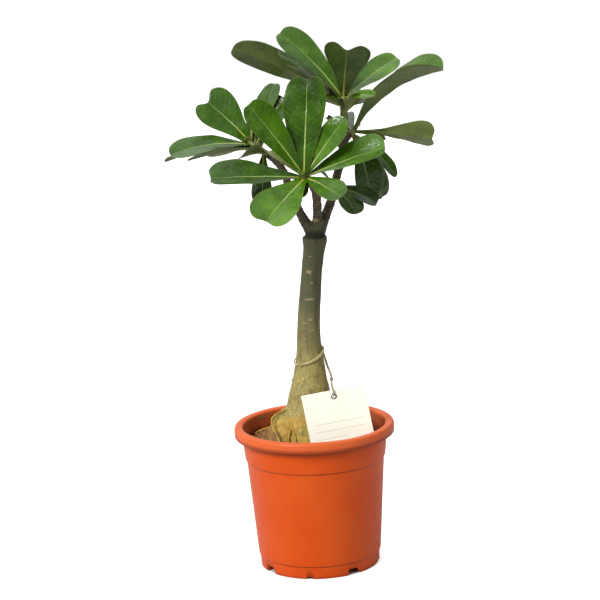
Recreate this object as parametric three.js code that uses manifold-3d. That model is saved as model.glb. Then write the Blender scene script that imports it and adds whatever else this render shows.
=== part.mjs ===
// Potted desert rose (adenium): a swollen grafted trunk in a moulded nursery pot, with five leafy
// shoots and a card tag tied to the stem with twine.
// Units are millimetres. +Z is up, the pot's front faces -Y, and the origin is on the pot's axis,
// on the surface that the pot stands on.
import * as THREE from 'three';
import { mergeVertices } from 'three/addons/utils/BufferGeometryUtils.js';
import Module from 'manifold-3d';

const wasm = await Module();
wasm.setup();

// Clear gap between two pieces that touch.
const GAP = 0.3;

// Pot, 152 mm across its rim and 137 mm high. Its section, as rows of [radius, height], runs from
// the middle of its underside up the outside to the rim, then down the inside to the floor's middle.
const POT_SEGMENTS = 32;
const POT_OUTSIDE = [
  [0, 0],
  [30, 0],
  [33, 5.5],
  [52.4, 5.5],
  [53.4, 0],
  [56.6, 0],
  [57.4, 11.9],
  [58.4, 12.4],
  [65.4, 104.4],
  [66.6, 105],
  [69, 127],
  [69.4, 135.4],
  [74.4, 134.8],
  [74.4, 127.4],
  [75.6, 127],
  [76, 128],
  [76, 134.6],
  [75.2, 136.3],
  [73.8, 137],
];
const POT_INSIDE = [
  [69.8, 137],
  [68, 136.2],
  [67.4, 134.6],
  [65, 105],
  [63.8, 102],
  [56.8, 12.4],
  [52.4, 7.1],
  [32.2, 7.1],
  [29.2, 1.6],
  [0, 1.6],
];

// Notches through the foot's wall, each as wide as 'width' on the table, and holes in the floor.
const NOTCHES = [
  { width: 15, height: 6.4, slant: 5, bearing: 34.5 },
  { width: 7, height: 2.4, slant: 1, bearing: -10.5 },
];
const NOTCHES_OF_A_KIND = 4;
const NOTCH_CUT = { from: 50, to: 60, below: 1, lean: 0.5 };
const DRAIN_HOLES = { radius: 4, ring: 43, count: 8, first: 11.25, floor: 5.5, depth: 11, sides: 10 };

// Soil: its level at the wall and how far it rises towards the trunk, with uneven ground and a heap
// of loose debris on the left.
const SOIL = { level: 117.5, rise: 4, edgeRadius: 65.2, bedRows: 6, rings: 6, bump: 0.7 };
const HEAP = { x: -42, y: 16, height: 8, spread: 18 };
const SOIL_WAVES = [[1 / 6, 1 / 9], [-1 / 11, 1 / 5]];

// Woody limbs as rows of [x, y, z, radius], from inside the soil upwards.
const STEM = [
  [-11, -7, 66, 14],
  [-12, -8, 88, 31],
  [-12, -8, 106, 37],
  [-10.5, -8, 122, 36.5],
  [-8, -7, 138, 29.5],
  [-4.6, -5.4, 149, 22.4],
  [-3.4, -4.4, 157, 20.8],
  [-2.2, -3, 170, 19],
  [-1.8, -2, 181, 16.2],
  [-1.2, -1, 193, 14.2],
  [-1, 0, 206, 12.4],
  [-1.2, 0, 219, 11.3],
  [0.2, 0, 243, 10.5],
  [2.4, 0, 263, 10.1],
  [5, 0, 286, 9.8],
  [8, 0, 306, 10.4],
  [8.7, 0, 313, 11.6],
  [8.8, 0, 316.5, 11.4],
];
const SCION_COLLAR = [
  [8.8, 0, 313, 9.6],
  [9.4, 0, 320, 9],
  [10.4, 0, 327, 8.4],
];
const BUTTRESSES = [
  [[-15, -11, 147, 11.5], [-26, -20, 136, 15.5], [-34, -28, 118, 14], [-36, -30, 104, 9]],
  [[-6, -10, 147, 12], [-4, -24, 134, 15], [-2, -32, 118, 14], [-2, -34, 104, 9]],
  [[0, -4, 147, 12], [12, -8, 134, 15], [22, -10, 118, 14], [25, -10, 104, 9]],
  [[-6, 4, 147, 12], [2, 14, 134, 15], [8, 24, 118, 14], [10, 27, 104, 9]],
  [[-12, 2, 147, 12], [-20, 12, 134, 13.5], [-27, 19, 118, 13], [-30, 21, 104, 9]],
];
const SURFACE_ROOTS = [
  [
    [-20, -12, 154, 1.7], [-29, -18, 153.5, 1.6], [-36, -24, 152, 1.5], [-39.5, -30, 149.5, 1.4],
    [-38, -37, 144, 1.3], [-34.5, -43, 137, 1.2], [-32, -48, 130, 1.1], [-30, -51, 117, 0.9],
  ],
  [
    [-21.5, -25, 147, 1.4], [-22, -33, 142.5, 1.3], [-23.5, -38, 137, 1.2], [-25, -43, 130, 1.1],
    [-26, -48, 117, 0.9],
  ],
  [
    [-21.5, -25, 147, 1.3], [-20.5, -33, 142.5, 1.2], [-19, -39, 136.5, 1.1], [-17.5, -44, 130, 1.1],
    [-15, -49, 117, 0.9],
  ],
  [[-30, 14, 132, 1.4], [-40, 17, 130, 1.3], [-49, 22, 126.4, 1.2], [-57, 27, 121.4, 1]],
];
const NUB = [[-14, -6, 182, 3.4], [-17.5, -7, 181, 2.6], [-18.8, -7.2, 180.6, 1.4]];
const LEFT_BRANCH = [
  [8, 0, 318, 7],
  [1, -2, 330, 5],
  [-6.3, -4, 345.4, 4.2],
  [-12, -5, 361.8, 3.9],
  [-18, -5, 381, 3.7],
  [-24, -5, 390, 3.5],
  [-31, -5, 395.5, 3.3],
];
const MIDDLE_BRANCH = [
  [11, -1, 318, 6.5],
  [12, -4, 332, 4.6],
  [12.4, -10, 347, 4.2],
  [11.6, -21, 361, 4],
  [8, -33, 371, 3.8],
  [4.5, -40, 376, 3.6],
];
const RIGHT_BRANCH = [
  [12, 1, 318, 6.5],
  [20, 4, 335, 4.8],
  [26.5, 6, 350, 4.3],
  [32.5, 8, 372, 4.1],
  [38, 10, 390, 4.3],
  [41, 12, 405, 4],
  [41.3, 14, 421, 3.8],
];
const LOW_RIGHT_SPUR = [[27.6, 6, 354, 3.4], [28.4, 1.5, 357.5, 3.2], [29, -2, 360.5, 2.9]];
const RIGHT_SPUR = [[40.4, 12, 402, 3.4], [43, 14, 404.5, 3.1], [46, 16.5, 407, 2.8]];
const CUT_STUBS = [
  [[38, 10, 396, 3], [35.5, 7.5, 401.5, 2.6], [34.4, 6.4, 403.5, 2.2]],
  [[40, 11, 412, 3], [33, 8, 421, 2.7], [26, 5.5, 427, 2.4]],
];

const LIMBS = [
  { rows: STEM, sides: 16, steps: 20 },
  { rows: SCION_COLLAR, sides: 12, steps: 3 },
  { rows: NUB, sides: 7, steps: 3 },
  { rows: LEFT_BRANCH, sides: 8, steps: 9 },
  { rows: MIDDLE_BRANCH, sides: 8, steps: 8 },
  { rows: RIGHT_BRANCH, sides: 8, steps: 10 },
  { rows: LOW_RIGHT_SPUR, sides: 8, steps: 3 },
  { rows: RIGHT_SPUR, sides: 8, steps: 3 },
  ...BUTTRESSES.map((rows) => ({ rows, sides: 10, steps: 5 })),
  ...SURFACE_ROOTS.map((rows) => ({ rows, sides: 6, steps: 2 * rows.length - 2 })),
  ...CUT_STUBS.map((rows) => ({ rows, sides: 8, steps: 3 })),
];

// The leaves of a shoot turn their upper sides towards 'facing'.
// A leaf springs from its shoot at 'rise' up the shoot's stem. 'reach' is its base to its tip in a
// straight line, 'heading' the compass direction of that line from +X and 'climb' its slope.
// 'bend' is how far the midrib turns from base to tip, 'roll' and 'twist' turn the blade about the
// midrib, 'fold' lifts its two halves, 'notch' is the depth of the cleft at the tip, 'taper' sets
// how late the blade widens and 'stalk' is the part of it that is stalk.
const USUAL_LEAF = { twist: 0, fold: 12, notch: 0, taper: 0.3, stalk: 0 };
const SHOOTS = {
  shoot_front: {
    branch: MIDDLE_BRANCH,
    length: 9,
    facing: [0, -0.75, 0.66],
    leaves: [
      {
        rise: 8, reach: 94, width: 39, heading: 68, climb: 77, bend: 14, roll: -14, fold: 20,
        notch: 0.07, taper: 0.16,
      },
      {
        rise: 7, reach: 86, width: 31, heading: -174, climb: 55, bend: 12, roll: 6, fold: 18, notch: 0.03,
      },
      { rise: 7, reach: 66, width: 23, heading: -10, climb: 53, bend: 12, roll: -2 },
      {
        rise: 6, reach: 82, width: 37, heading: -13, climb: 19, bend: 14, roll: -20, fold: 20, notch: 0.03,
      },
      {
        rise: 4, reach: 91, width: 37, heading: -169, climb: 4, bend: 14, roll: 20, fold: 20, notch: 0.04,
      },
      {
        rise: 5, reach: 77, width: 42, heading: -125, climb: -25, bend: 18, roll: 4, fold: 16, notch: 0.08,
      },
      { rise: 6, reach: 52, width: 25, heading: -49, climb: -16, bend: 20, roll: -5, notch: 0.03 },
      { rise: 3, reach: 45, width: 14, heading: 148, climb: 32, bend: 20, roll: 28 },
      { rise: 1, reach: 22, width: 13, heading: -118, climb: -42, bend: 20, roll: 20 },
    ],
  },
  shoot_top: {
    branch: RIGHT_BRANCH,
    length: 22,
    facing: [0, 0, 1],
    leaves: [
      { rise: 19, reach: 117, width: 34, heading: -168, climb: 28, bend: 16, roll: 46, notch: 0.01 },
      {
        rise: 20, reach: 88, width: 32, heading: 166, climb: 47, bend: 18, roll: -36, fold: 16, notch: 0.03,
      },
      {
        rise: 21, reach: 59, width: 42, heading: -78, climb: 64, bend: 10, roll: -22, fold: 16,
        notch: 0.13, taper: 0.55,
      },
      { rise: 20, reach: 67, width: 27, heading: 23, climb: 31, bend: 14, roll: 30, notch: 0.02 },
      { rise: 21, reach: 40, width: 12, heading: -45, climb: 6, bend: 24, roll: 30 },
      { rise: 20, reach: 30, width: 10, heading: -125, climb: 10, bend: 24, roll: -30 },
      { rise: 12, reach: 32, width: 14, heading: -147, climb: 26, bend: 24, roll: 28 },
      { rise: 12, reach: 40, width: 17, heading: 50, climb: 9, bend: 24, roll: 36, notch: 0.03 },
      { rise: 15, reach: 89, width: 15, heading: -148, climb: 38, bend: 20, roll: -36, notch: 0.02 },
      { rise: 13, reach: 82, width: 20, heading: -138, climb: 34, bend: 24, roll: -6, notch: 0.02 },
      { rise: 17, reach: 62, width: 26, heading: 141, climb: 31, bend: 24, roll: 2, notch: 0.03 },
      { rise: 6, reach: 29, width: 13, heading: -40, climb: 44, bend: 20, roll: -24 },
      { rise: 16, reach: 84, width: 32, heading: 84, climb: 22, bend: 34, roll: 0, notch: 0.03 },
    ],
  },
  shoot_left: {
    branch: LEFT_BRANCH,
    length: 20,
    facing: [0, 0, 1],
    leaves: [
      { rise: 18, reach: 64, width: 40, heading: 167, climb: 44, bend: 10, roll: -50, notch: 0.13 },
      {
        rise: 16, reach: 80, width: 30, heading: -162, climb: -2, bend: 30, roll: -24, fold: 12, notch: 0.01,
      },
      { rise: 12, reach: 66, width: 16, heading: -176, climb: -8, bend: 20, roll: 20, notch: 0.02 },
      { rise: 9, reach: 53, width: 22, heading: 161, climb: -8, bend: 24, roll: 24, notch: 0.03 },
      { rise: 3, reach: 38, width: 24, heading: -126, climb: 2, bend: 24, roll: 34, notch: 0.02 },
      { rise: 18, reach: 34, width: 14, heading: 80, climb: 72, bend: 12, roll: -45 },
      { rise: 8, reach: 46, width: 18, heading: 57, climb: 57, bend: 16, roll: -16 },
      { rise: 16, reach: 65, width: 22, heading: 52, climb: 55, bend: 16, roll: 0, notch: 0.02 },
      { rise: 14, reach: 54, width: 30, heading: 26, climb: 51, bend: 16, roll: 28, notch: 0.02 },
      { rise: 4, reach: 52, width: 20, heading: -98, climb: -60, bend: 24, roll: 20, notch: 0.02 },
      { rise: 10, reach: 70, width: 28, heading: 106, climb: 9, bend: 30, roll: 20, notch: 0.04 },
      { rise: 14, reach: 90, width: 18, heading: 164, climb: -9, bend: 22, roll: 16 },
    ],
  },
  shoot_low_right: {
    branch: LOW_RIGHT_SPUR,
    length: 6,
    facing: [0, 0, 1],
    leaves: [
      { rise: 4, reach: 37, width: 24, heading: -49, climb: -40, bend: 22, roll: 4, notch: 0.02 },
      { rise: 3, reach: 43, width: 26, heading: -1, climb: -24, bend: 22, roll: 28, notch: 0.02 },
      { rise: 5, reach: 32, width: 12, heading: -122, climb: 34, bend: 20, roll: -40 },
    ],
  },
  shoot_right: {
    branch: RIGHT_SPUR,
    length: 7,
    facing: [0, 0, 1],
    leaves: [
      {
        rise: 6, reach: 77, width: 35, heading: -11, climb: -7, bend: 8, roll: -50, fold: 20,
        notch: 0.04, taper: 0.6, stalk: 0.32,
      },
      { rise: 5, reach: 32, width: 18, heading: -18, climb: -13, bend: 20, roll: -30 },
      { rise: 3, reach: 58, width: 16, heading: -5, climb: -47, bend: 26, roll: 28 },
      { rise: 3.5, reach: 64, width: 34, heading: 12, climb: -77, bend: 22, roll: 64, notch: 0.03 },
      { rise: 2, reach: 76, width: 26, heading: 39, climb: -61, bend: 24, roll: 76, notch: 0.03 },
      { rise: 4, reach: 58, width: 26, heading: 104, climb: 8, bend: 30, roll: -10, notch: 0.03 },
      {
        rise: 6, reach: 105, width: 43, heading: -16, climb: 32, bend: 50, roll: 0, twist: 22,
        fold: 38, notch: 0.02,
      },
    ],
  },
};
const LEAF = {
  across: 4,
  along: 7,
  thickness: 0.8,
  petiole: 1.3,
  lengthening: 0.6,
  stalkRise: 4,
  ribEvenness: 0.45,
  cleftWidth: 0.19,
};
const SHOOT_STEM = { sides: 8, steps: 4, middle: 0.9, shoulder: 0.65, tip: 0.25, tipLength: 3 };

// Tag: a card that leans back on the trunk's base, with its foot behind the pot's front rim.
const TAG = {
  width: 61,
  height: 50,
  thickness: 0.5,
  topLeft: [-10.9, -32, 171.6],
  topRight: [48.5, -18, 176.7],
  downward: [9, -14, -43],
  holeFromTop: 6,
  holeRadius: 2,
  holeSides: 16,
};
const EYELET = { bore: 1.5, rim: 3, flange: 0.3, clearance: 0.1, sides: 16 };

// Twine: two-ply, tied round the stem, with one strand down to the tag's eyelet.
const TWINE = { radius: 0.8, sides: 8 };
const WRAP = { height: 203, radius: 14, tiltX: 0.42, tiltY: 0.22, steps: 24 };
const STRAND = [
  [11, 8.2, 207.6],
  [11.6, 8.3, 204.2],
  [12.3, 7.5, 200.3],
  [13.4, 5, 196],
  [14.5, 1.5, 191.9],
  [16, -4.5, 188.6],
  [17.7, -12, 185.4],
  [18.2, -17.8, 182.6],
  [18.9, -24, 178],
  [19.5, -26.8, 174.4],
  [19.7, -28.5, 171.4],
  [19.9, -28.4, 169.4],
  [19.5, -26.4, 168.3],
];
const STRAND_STEP = 2;

const material = (color, roughness, metalness = 0) => new THREE.MeshStandardMaterial({
  color, roughness, metalness, flatShading: true,
});
const FINISHES = {
  pot: material(0xd2541e, 0.45),
  soil: material(0x5a3d28, 1),
  trunk: material(0x8d8556, 0.85),
  leaf: material(0x3f6b1f, 0.45),
  tag: material(0xf7f6e6, 0.8),
  eyelet: material(0x9a9a96, 0.35, 0.8),
  twine: material(0xc9b98c, 0.9),
};

const vector = ([x, y, z]) => new THREE.Vector3(x, y, z);

// A closed solid from a geometry: shared corners are merged and collapsed triangles dropped.
function solidOf(geometry) {
  const bare = new THREE.BufferGeometry();
  bare.setAttribute('position', geometry.getAttribute('position').clone());
  bare.setIndex(geometry.index ?? [...Array(geometry.getAttribute('position').count).keys()]);
  const merged = mergeVertices(bare, 1e-4);
  const corners = [];
  for (let i = 0; i < merged.index.count; i += 3) {
    const [a, b, c] = [0, 1, 2].map((k) => merged.index.getX(i + k));
    if (a !== b && b !== c && c !== a) corners.push(a, b, c);
  }
  return new wasm.Manifold(new wasm.Mesh({
    numProp: 3,
    vertProperties: new Float32Array(merged.getAttribute('position').array),
    triVerts: new Uint32Array(corners),
  }));
}

function geometryOf(solid) {
  const mesh = solid.getMesh();
  const geometry = new THREE.BufferGeometry();
  geometry.setAttribute('position', new THREE.BufferAttribute(new Float32Array(mesh.vertProperties), 3));
  geometry.setIndex([...mesh.triVerts]);
  geometry.computeVertexNormals();
  return geometry;
}

// One body from solids that reach into each other, without the flat slivers that a join can leave.
function joined(solids) {
  const bodies = solids.reduce((whole, next) => whole.add(next)).decompose();
  return bodies.reduce((largest, next) => (next.volume() > largest.volume() ? next : largest));
}

// A round limb along a curve through rows of [x, y, z, radius]. 'swell' makes it thicker all over.
function limb(rows, sides, steps, swell = 0) {
  const path = new THREE.CatmullRomCurve3(rows.map(vector));
  const girth = new THREE.CatmullRomCurve3(rows.map((row) => new THREE.Vector3(row[3] + swell, 0, 0)));
  const frames = path.computeFrenetFrames(steps);
  const geometry = new THREE.CylinderGeometry(1, 1, 1, sides, steps);
  const corner = geometry.getAttribute('position');
  for (let i = 0; i < corner.count; i += 1) {
    const along = corner.getY(i) + 0.5;
    const step = Math.round(along * steps);
    const t = path.getUtoTmapping(along);
    const radius = girth.getPoint(t).x;
    const place = path.getPoint(t)
      .addScaledVector(frames.binormals[step], corner.getX(i) * radius)
      .addScaledVector(frames.normals[step], corner.getZ(i) * radius)
      .addScaledVector(frames.tangents[step], (along - 0.5) * 2 * swell);
    corner.setXYZ(i, place.x, place.y, place.z);
  }
  return solidOf(geometry);
}

// A thin closed sheet: placeOf(across, along) gives a point and its upward normal.
function sheet(placeOf, across, along, thickness) {
  const grid = new THREE.PlaneGeometry(2, 1, across, along);
  const count = grid.getAttribute('position').count;
  const points = new Float32Array(count * 6);
  for (let i = 0; i < count; i += 1) {
    const [x, y] = [grid.getAttribute('position').getX(i), grid.getAttribute('position').getY(i)];
    const { point, up } = placeOf(x, y + 0.5);
    point.clone().addScaledVector(up, thickness / 2).toArray(points, i * 3);
    point.clone().addScaledVector(up, -thickness / 2).toArray(points, (count + i) * 3);
  }
  const corners = [];
  const edges = new Map();
  for (let i = 0; i < grid.index.count; i += 3) {
    const face = [0, 1, 2].map((k) => grid.index.getX(i + k));
    corners.push(...face, ...face.map((corner) => corner + count).reverse());
    face.forEach((corner, k) => edges.set(`${corner} ${face[(k + 1) % 3]}`, [corner, face[(k + 1) % 3]]));
  }
  for (const [from, to] of edges.values()) {
    if (edges.has(`${to} ${from}`)) continue;
    corners.push(to, from, from + count, to, from + count, to + count);
  }
  const geometry = new THREE.BufferGeometry();
  geometry.setAttribute('position', new THREE.BufferAttribute(points, 3));
  geometry.setIndex(corners);
  return solidOf(geometry);
}

const sectionOf = (rows) => rows.map(([radius, height]) => new THREE.Vector2(radius, height));

// A cut through the foot's wall, facing the compass direction 'bearing' from the front.
function notchSolid({ width, height, slant, bearing }) {
  const { from, to, below, lean } = NOTCH_CUT;
  const half = width / 2;
  const outline = new THREE.Shape([
    new THREE.Vector2(-half, -below),
    new THREE.Vector2(half, -below),
    new THREE.Vector2(half - slant, height),
    new THREE.Vector2(-half + lean, height),
  ]);
  const slot = new THREE.ExtrudeGeometry(outline, { depth: to - from, bevelEnabled: false });
  slot.rotateX(Math.PI / 2).translate(0, -from, 0);
  slot.rotateZ(THREE.MathUtils.degToRad(bearing));
  return solidOf(slot);
}

function drainHole(bearing) {
  const { radius, ring, floor, depth, sides } = DRAIN_HOLES;
  const hole = new THREE.CylinderGeometry(radius, radius, depth, sides);
  hole.rotateX(Math.PI / 2).translate(ring, 0, floor).rotateZ(THREE.MathUtils.degToRad(bearing));
  return solidOf(hole);
}

function pot() {
  const section = sectionOf([...POT_OUTSIDE, ...POT_INSIDE]);
  const body = new THREE.LatheGeometry(section, POT_SEGMENTS).rotateX(Math.PI / 2);
  const cuts = [];
  for (const notch of NOTCHES) {
    for (let k = 0; k < NOTCHES_OF_A_KIND; k += 1) {
      cuts.push(notchSolid({ ...notch, bearing: notch.bearing + (360 * k) / NOTCHES_OF_A_KIND }));
    }
  }
  for (let k = 0; k < DRAIN_HOLES.count; k += 1) {
    cuts.push(drainHole(DRAIN_HOLES.first + (360 * k) / DRAIN_HOLES.count));
  }
  return cuts.reduce((rest, next) => rest.subtract(next), solidOf(body));
}

// Everything woody, as one solid. 'swell' thickens it all over, for the hole that it stands in.
const trunk = (swell = 0) => joined(LIMBS.map(({ rows, sides, steps }) => limb(rows, sides, steps, swell)));

function soil() {
  const { level, rise, edgeRadius, bedRows, rings, bump } = SOIL;
  const bed = POT_INSIDE.toReversed().slice(0, bedRows);
  const section = bed.map(([radius, height]) => [Math.max(radius - GAP, 0), height + GAP]);
  for (let ring = 0; ring <= rings; ring += 1) {
    const inward = ring / rings;
    section.push([edgeRadius * (1 - inward), level + rise * inward]);
  }
  const body = new THREE.LatheGeometry(sectionOf(section), POT_SEGMENTS).rotateX(Math.PI / 2);
  const corner = body.getAttribute('position');
  for (let i = 0; i < corner.count; i += 1) {
    const [x, y, z] = [corner.getX(i), corner.getY(i), corner.getZ(i)];
    const waves = SOIL_WAVES.map(([alongX, alongY]) => Math.sin(x * alongX + y * alongY));
    const away = Math.hypot(x - HEAP.x, y - HEAP.y) / HEAP.spread;
    const heap = HEAP.height * Math.exp(-(away ** 2));
    if (z > level - GAP) corner.setZ(i, z + heap);
    if (z > level + GAP) corner.setZ(i, z + heap + bump * (waves[0] + waves[1]));
  }
  return solidOf(body).subtract(trunk(GAP));
}

// The frame of a shoot: it stands on the end of its branch and follows the branch's last direction.
function shootFrame({ branch, facing }) {
  const seat = vector(branch[branch.length - 1]);
  const axis = new THREE.CatmullRomCurve3(branch.map(vector)).getTangent(1);
  return { seat, axis, facing: vector(facing), radius: branch[branch.length - 1][3] };
}

// The half-width of a blade, from 0 to 1, part of the way along it: the taper sets how late it widens.
function bladeSwell(progress, taper) {
  const widest = (0.5 + taper) / (1 + taper);
  const swell = (u) => Math.sqrt(Math.max(u * (1 - u), 0)) * u ** taper;
  return swell(progress) / swell(widest);
}

// The place on a leaf's blade: 'across' runs from -1 to 1 over the midrib, 'along' from 0 at the
// stalk to 1 in the notch.
function leafPlace(row, base, facing) {
  const leaf = { ...USUAL_LEAF, ...row };
  const heading = THREE.MathUtils.degToRad(leaf.heading);
  const climb = THREE.MathUtils.degToRad(leaf.climb);
  const bend = THREE.MathUtils.degToRad(leaf.bend);
  const chord = new THREE.Vector3(1, 0, 0).applyAxisAngle(new THREE.Vector3(0, 1, 0), -climb);
  chord.applyAxisAngle(new THREE.Vector3(0, 0, 1), heading);
  const side = chord.clone().cross(facing).normalize();
  const arc = (leaf.reach * (bend / 2)) / Math.sin(bend / 2);
  const coil = arc / bend;
  return (across, along) => {
    const turn = Math.PI * along;
    const progress = (1 - Math.cos(turn)) / 2;
    const blade = (leaf.width / 2) * bladeSwell(progress, leaf.taper);
    const edgeX = blade + LEAF.petiole * (1 - along);
    const cleft = leaf.notch * arc * Math.exp(-((edgeX / (leaf.width * LEAF.cleftWidth)) ** 2));
    const stalk = leaf.stalk * (1 - (1 - along) ** LEAF.stalkRise);
    const gone = stalk + (1 - leaf.stalk) * progress ** LEAF.lengthening;
    const edgeY = arc * gone - cleft;
    const ribGone = gone + LEAF.ribEvenness * (along - gone);
    const ribY = (1 - leaf.notch) * arc * ribGone;
    const out = Math.abs(across);
    const x = edgeX * across;
    const y = ribY + (edgeY - ribY) * out;
    const slope = bend / 2 - y / coil;
    const roll = THREE.MathUtils.degToRad(leaf.roll + leaf.twist * (y / arc - 0.5));
    const lift = Math.abs(x) * Math.tan(THREE.MathUtils.degToRad(leaf.fold));
    const forward = chord.clone().applyAxisAngle(side, slope);
    const right = side.clone().applyAxisAngle(forward, roll);
    const up = right.clone().cross(forward);
    const bow = new THREE.Vector3().crossVectors(side, chord);
    const point = base.clone()
      .addScaledVector(chord, coil * (Math.sin(bend / 2) - Math.sin(slope)))
      .addScaledVector(bow, coil * (Math.cos(slope) - Math.cos(bend / 2)))
      .addScaledVector(right, x)
      .addScaledVector(up, lift);
    return { point, up };
  };
}

function leafSolid(leaf, frame) {
  const base = frame.seat.clone().addScaledVector(frame.axis, leaf.rise);
  return sheet(leafPlace(leaf, base, frame.facing), LEAF.across, LEAF.along, LEAF.thickness);
}

// A green stem tip that stands on its branch's end, with its leaves grown into it.
function shoot(name) {
  const frame = shootFrame(SHOOTS[name]);
  const { length, leaves } = SHOOTS[name];
  const row = (up, radius) => [...frame.seat.clone().addScaledVector(frame.axis, up).toArray(), radius];
  const { sides, steps, middle, shoulder, tip, tipLength } = SHOOT_STEM;
  const stem = limb([
    row(GAP, frame.radius),
    row(length / 2, frame.radius * middle),
    row(length, frame.radius * shoulder),
    row(length + tipLength, frame.radius * tip),
  ], sides, steps);
  return joined([stem, ...leaves.map((leaf) => leafSolid(leaf, frame))]);
}

// The card's own frame: its top-left corner, and its directions right, up and forward.
function tagFrame() {
  const corner = vector(TAG.topLeft);
  const right = vector(TAG.topRight).sub(corner).normalize();
  const forward = right.clone().cross(vector(TAG.downward)).normalize().negate();
  const up = forward.clone().cross(right);
  return new THREE.Matrix4().makeBasis(right, up, forward).setPosition(corner);
}

function tag() {
  const { width, height, thickness, holeFromTop, holeRadius, holeSides } = TAG;
  const outline = new THREE.Shape([
    new THREE.Vector2(0, 0),
    new THREE.Vector2(0, -height),
    new THREE.Vector2(width, -height),
    new THREE.Vector2(width, 0),
  ]);
  outline.holes.push(new THREE.Path().absarc(width / 2, -holeFromTop, holeRadius, 0, 2 * Math.PI));
  const card = new THREE.ExtrudeGeometry(outline, {
    depth: thickness, bevelEnabled: false, curveSegments: holeSides,
  });
  return card.translate(0, 0, -thickness / 2).applyMatrix4(tagFrame());
}

function eyelet() {
  const { bore, rim, flange, clearance, sides } = EYELET;
  const inside = TAG.thickness / 2 + clearance;
  const barrel = TAG.holeRadius - clearance;
  const ring = [
    [bore, -inside - flange],
    [rim, -inside - flange],
    [rim, -inside],
    [barrel, -inside],
    [barrel, inside],
    [rim, inside],
    [rim, inside + flange],
    [bore, inside + flange],
    [bore, -inside - flange],
  ];
  const body = new THREE.LatheGeometry(sectionOf(ring), sides);
  body.rotateX(Math.PI / 2).translate(TAG.width / 2, -TAG.holeFromTop, 0);
  return body.applyMatrix4(tagFrame());
}

// The stem's centre and radius at a height, as [x, y, z, radius].
function stemAt(height) {
  const above = STEM.findIndex((row) => row[2] > height);
  const [low, high] = [STEM[above - 1], STEM[above]];
  const part = (height - low[2]) / (high[2] - low[2]);
  return low.map((value, k) => value + (high[k] - value) * part);
}

// The loop round the stem, tilted so that it dips at the front left.
function twineWrap() {
  const { height, radius, tiltX, tiltY, steps } = WRAP;
  const loop = new THREE.TorusGeometry(radius, TWINE.radius, TWINE.sides, steps);
  const corner = loop.getAttribute('position');
  for (let i = 0; i < corner.count; i += 1) {
    const [x, y, z] = [corner.getX(i), corner.getY(i), corner.getZ(i)];
    const rise = height + tiltX * x + tiltY * y;
    const stem = stemAt(rise);
    const outward = (stem[3] + TWINE.radius + GAP - radius) / Math.hypot(x, y);
    corner.setXYZ(i, stem[0] + x * (1 + outward), stem[1] + y * (1 + outward), z + rise);
  }
  return geometryOf(solidOf(loop));
}

function twineStrand() {
  const { radius, sides } = TWINE;
  const circle = new THREE.Path().absarc(0, 0, radius, 0, 2 * Math.PI).getSpacedPoints(sides);
  const section = new THREE.Shape(circle.slice(0, sides));
  const extrudePath = new THREE.CatmullRomCurve3(STRAND.map(vector));
  const steps = Math.round(extrudePath.getLength() / STRAND_STEP);
  return new THREE.ExtrudeGeometry(section, { extrudePath, steps });
}

const group = new THREE.Group();
function piece(name, geometry, finish) {
  const mesh = new THREE.Mesh(geometry, finish);
  mesh.name = name;
  group.add(mesh);
}

piece('pot', geometryOf(pot()), FINISHES.pot);
piece('soil', geometryOf(soil()), FINISHES.soil);
piece('trunk', geometryOf(trunk()), FINISHES.trunk);
for (const name of Object.keys(SHOOTS)) {
  piece(name, geometryOf(shoot(name)), FINISHES.leaf.clone());
}
piece('tag', tag(), FINISHES.tag);
piece('tag_eyelet', eyelet(), FINISHES.eyelet);
piece('twine_wrap', twineWrap(), FINISHES.twine);
piece('twine_strand', twineStrand(), FINISHES.twine.clone());

export default group;
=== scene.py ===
"""A potted desert rose (adenium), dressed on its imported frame.

Sizes, places and radii are in millimetres, as the plant was measured, unless a docstring says
otherwise. Meshes are in metres, +Z up, with the pot's front towards -Y and the origin on the pot's
axis, on the surface that the pot stands on.
"""

from __future__ import annotations

import functools
import logging
import math
import random
from dataclasses import dataclass, field
from enum import Enum
from typing import Iterable, Mapping, Sequence

import bmesh
import bpy
import numpy as np
from bmesh.types import BMEdge, BMesh, BMVert
from bpy.types import Material, Mesh, Node, NodeSocket, NodeTree, Object
from mathutils import Matrix, Vector, noise


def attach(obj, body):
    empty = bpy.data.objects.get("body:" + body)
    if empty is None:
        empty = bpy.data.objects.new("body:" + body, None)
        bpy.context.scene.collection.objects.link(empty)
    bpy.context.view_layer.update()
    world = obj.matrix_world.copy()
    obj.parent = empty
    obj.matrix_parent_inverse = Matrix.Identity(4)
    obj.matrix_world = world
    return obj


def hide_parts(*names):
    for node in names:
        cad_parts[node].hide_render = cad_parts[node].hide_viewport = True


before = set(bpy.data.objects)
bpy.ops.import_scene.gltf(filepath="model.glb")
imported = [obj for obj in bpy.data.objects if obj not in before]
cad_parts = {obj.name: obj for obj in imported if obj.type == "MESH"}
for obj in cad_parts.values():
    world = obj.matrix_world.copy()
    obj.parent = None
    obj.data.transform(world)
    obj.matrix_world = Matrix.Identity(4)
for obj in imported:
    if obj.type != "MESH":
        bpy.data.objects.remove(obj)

MM = 0.001
FULL_TURN = 2 * math.pi
BODY = "root"

Row = tuple[float, ...]
Paint = tuple[int, int, int]
Feed = object
Layers = Mapping[str, object]

BLADE_NUMBERS = ("across", "along", "reach", "half", "upper", "tone", "stem")
TWINE_NUMBERS = ("round_x", "round_y", "run")

logging.basicConfig(level=logging.INFO, format="%(message)s")
log = logging.getLogger("desert_rose")


class Slot(Enum):
    """The record's material slots."""

    POT = "pot_plastic"
    SOIL = "potting_soil"
    BARK = "bark"
    FOLIAGE = "foliage"
    CARD = "card"
    METAL = "eyelet_metal"
    TWINE = "twine"


class End(Enum):
    """How a tube ends."""

    FLAT = "flat"
    ROUND = "round"


class Face(Enum):
    """The two faces of a leaf, as its 'upper' attribute."""

    UNDERSIDE = 0.0
    UPPER = 1.0


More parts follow.
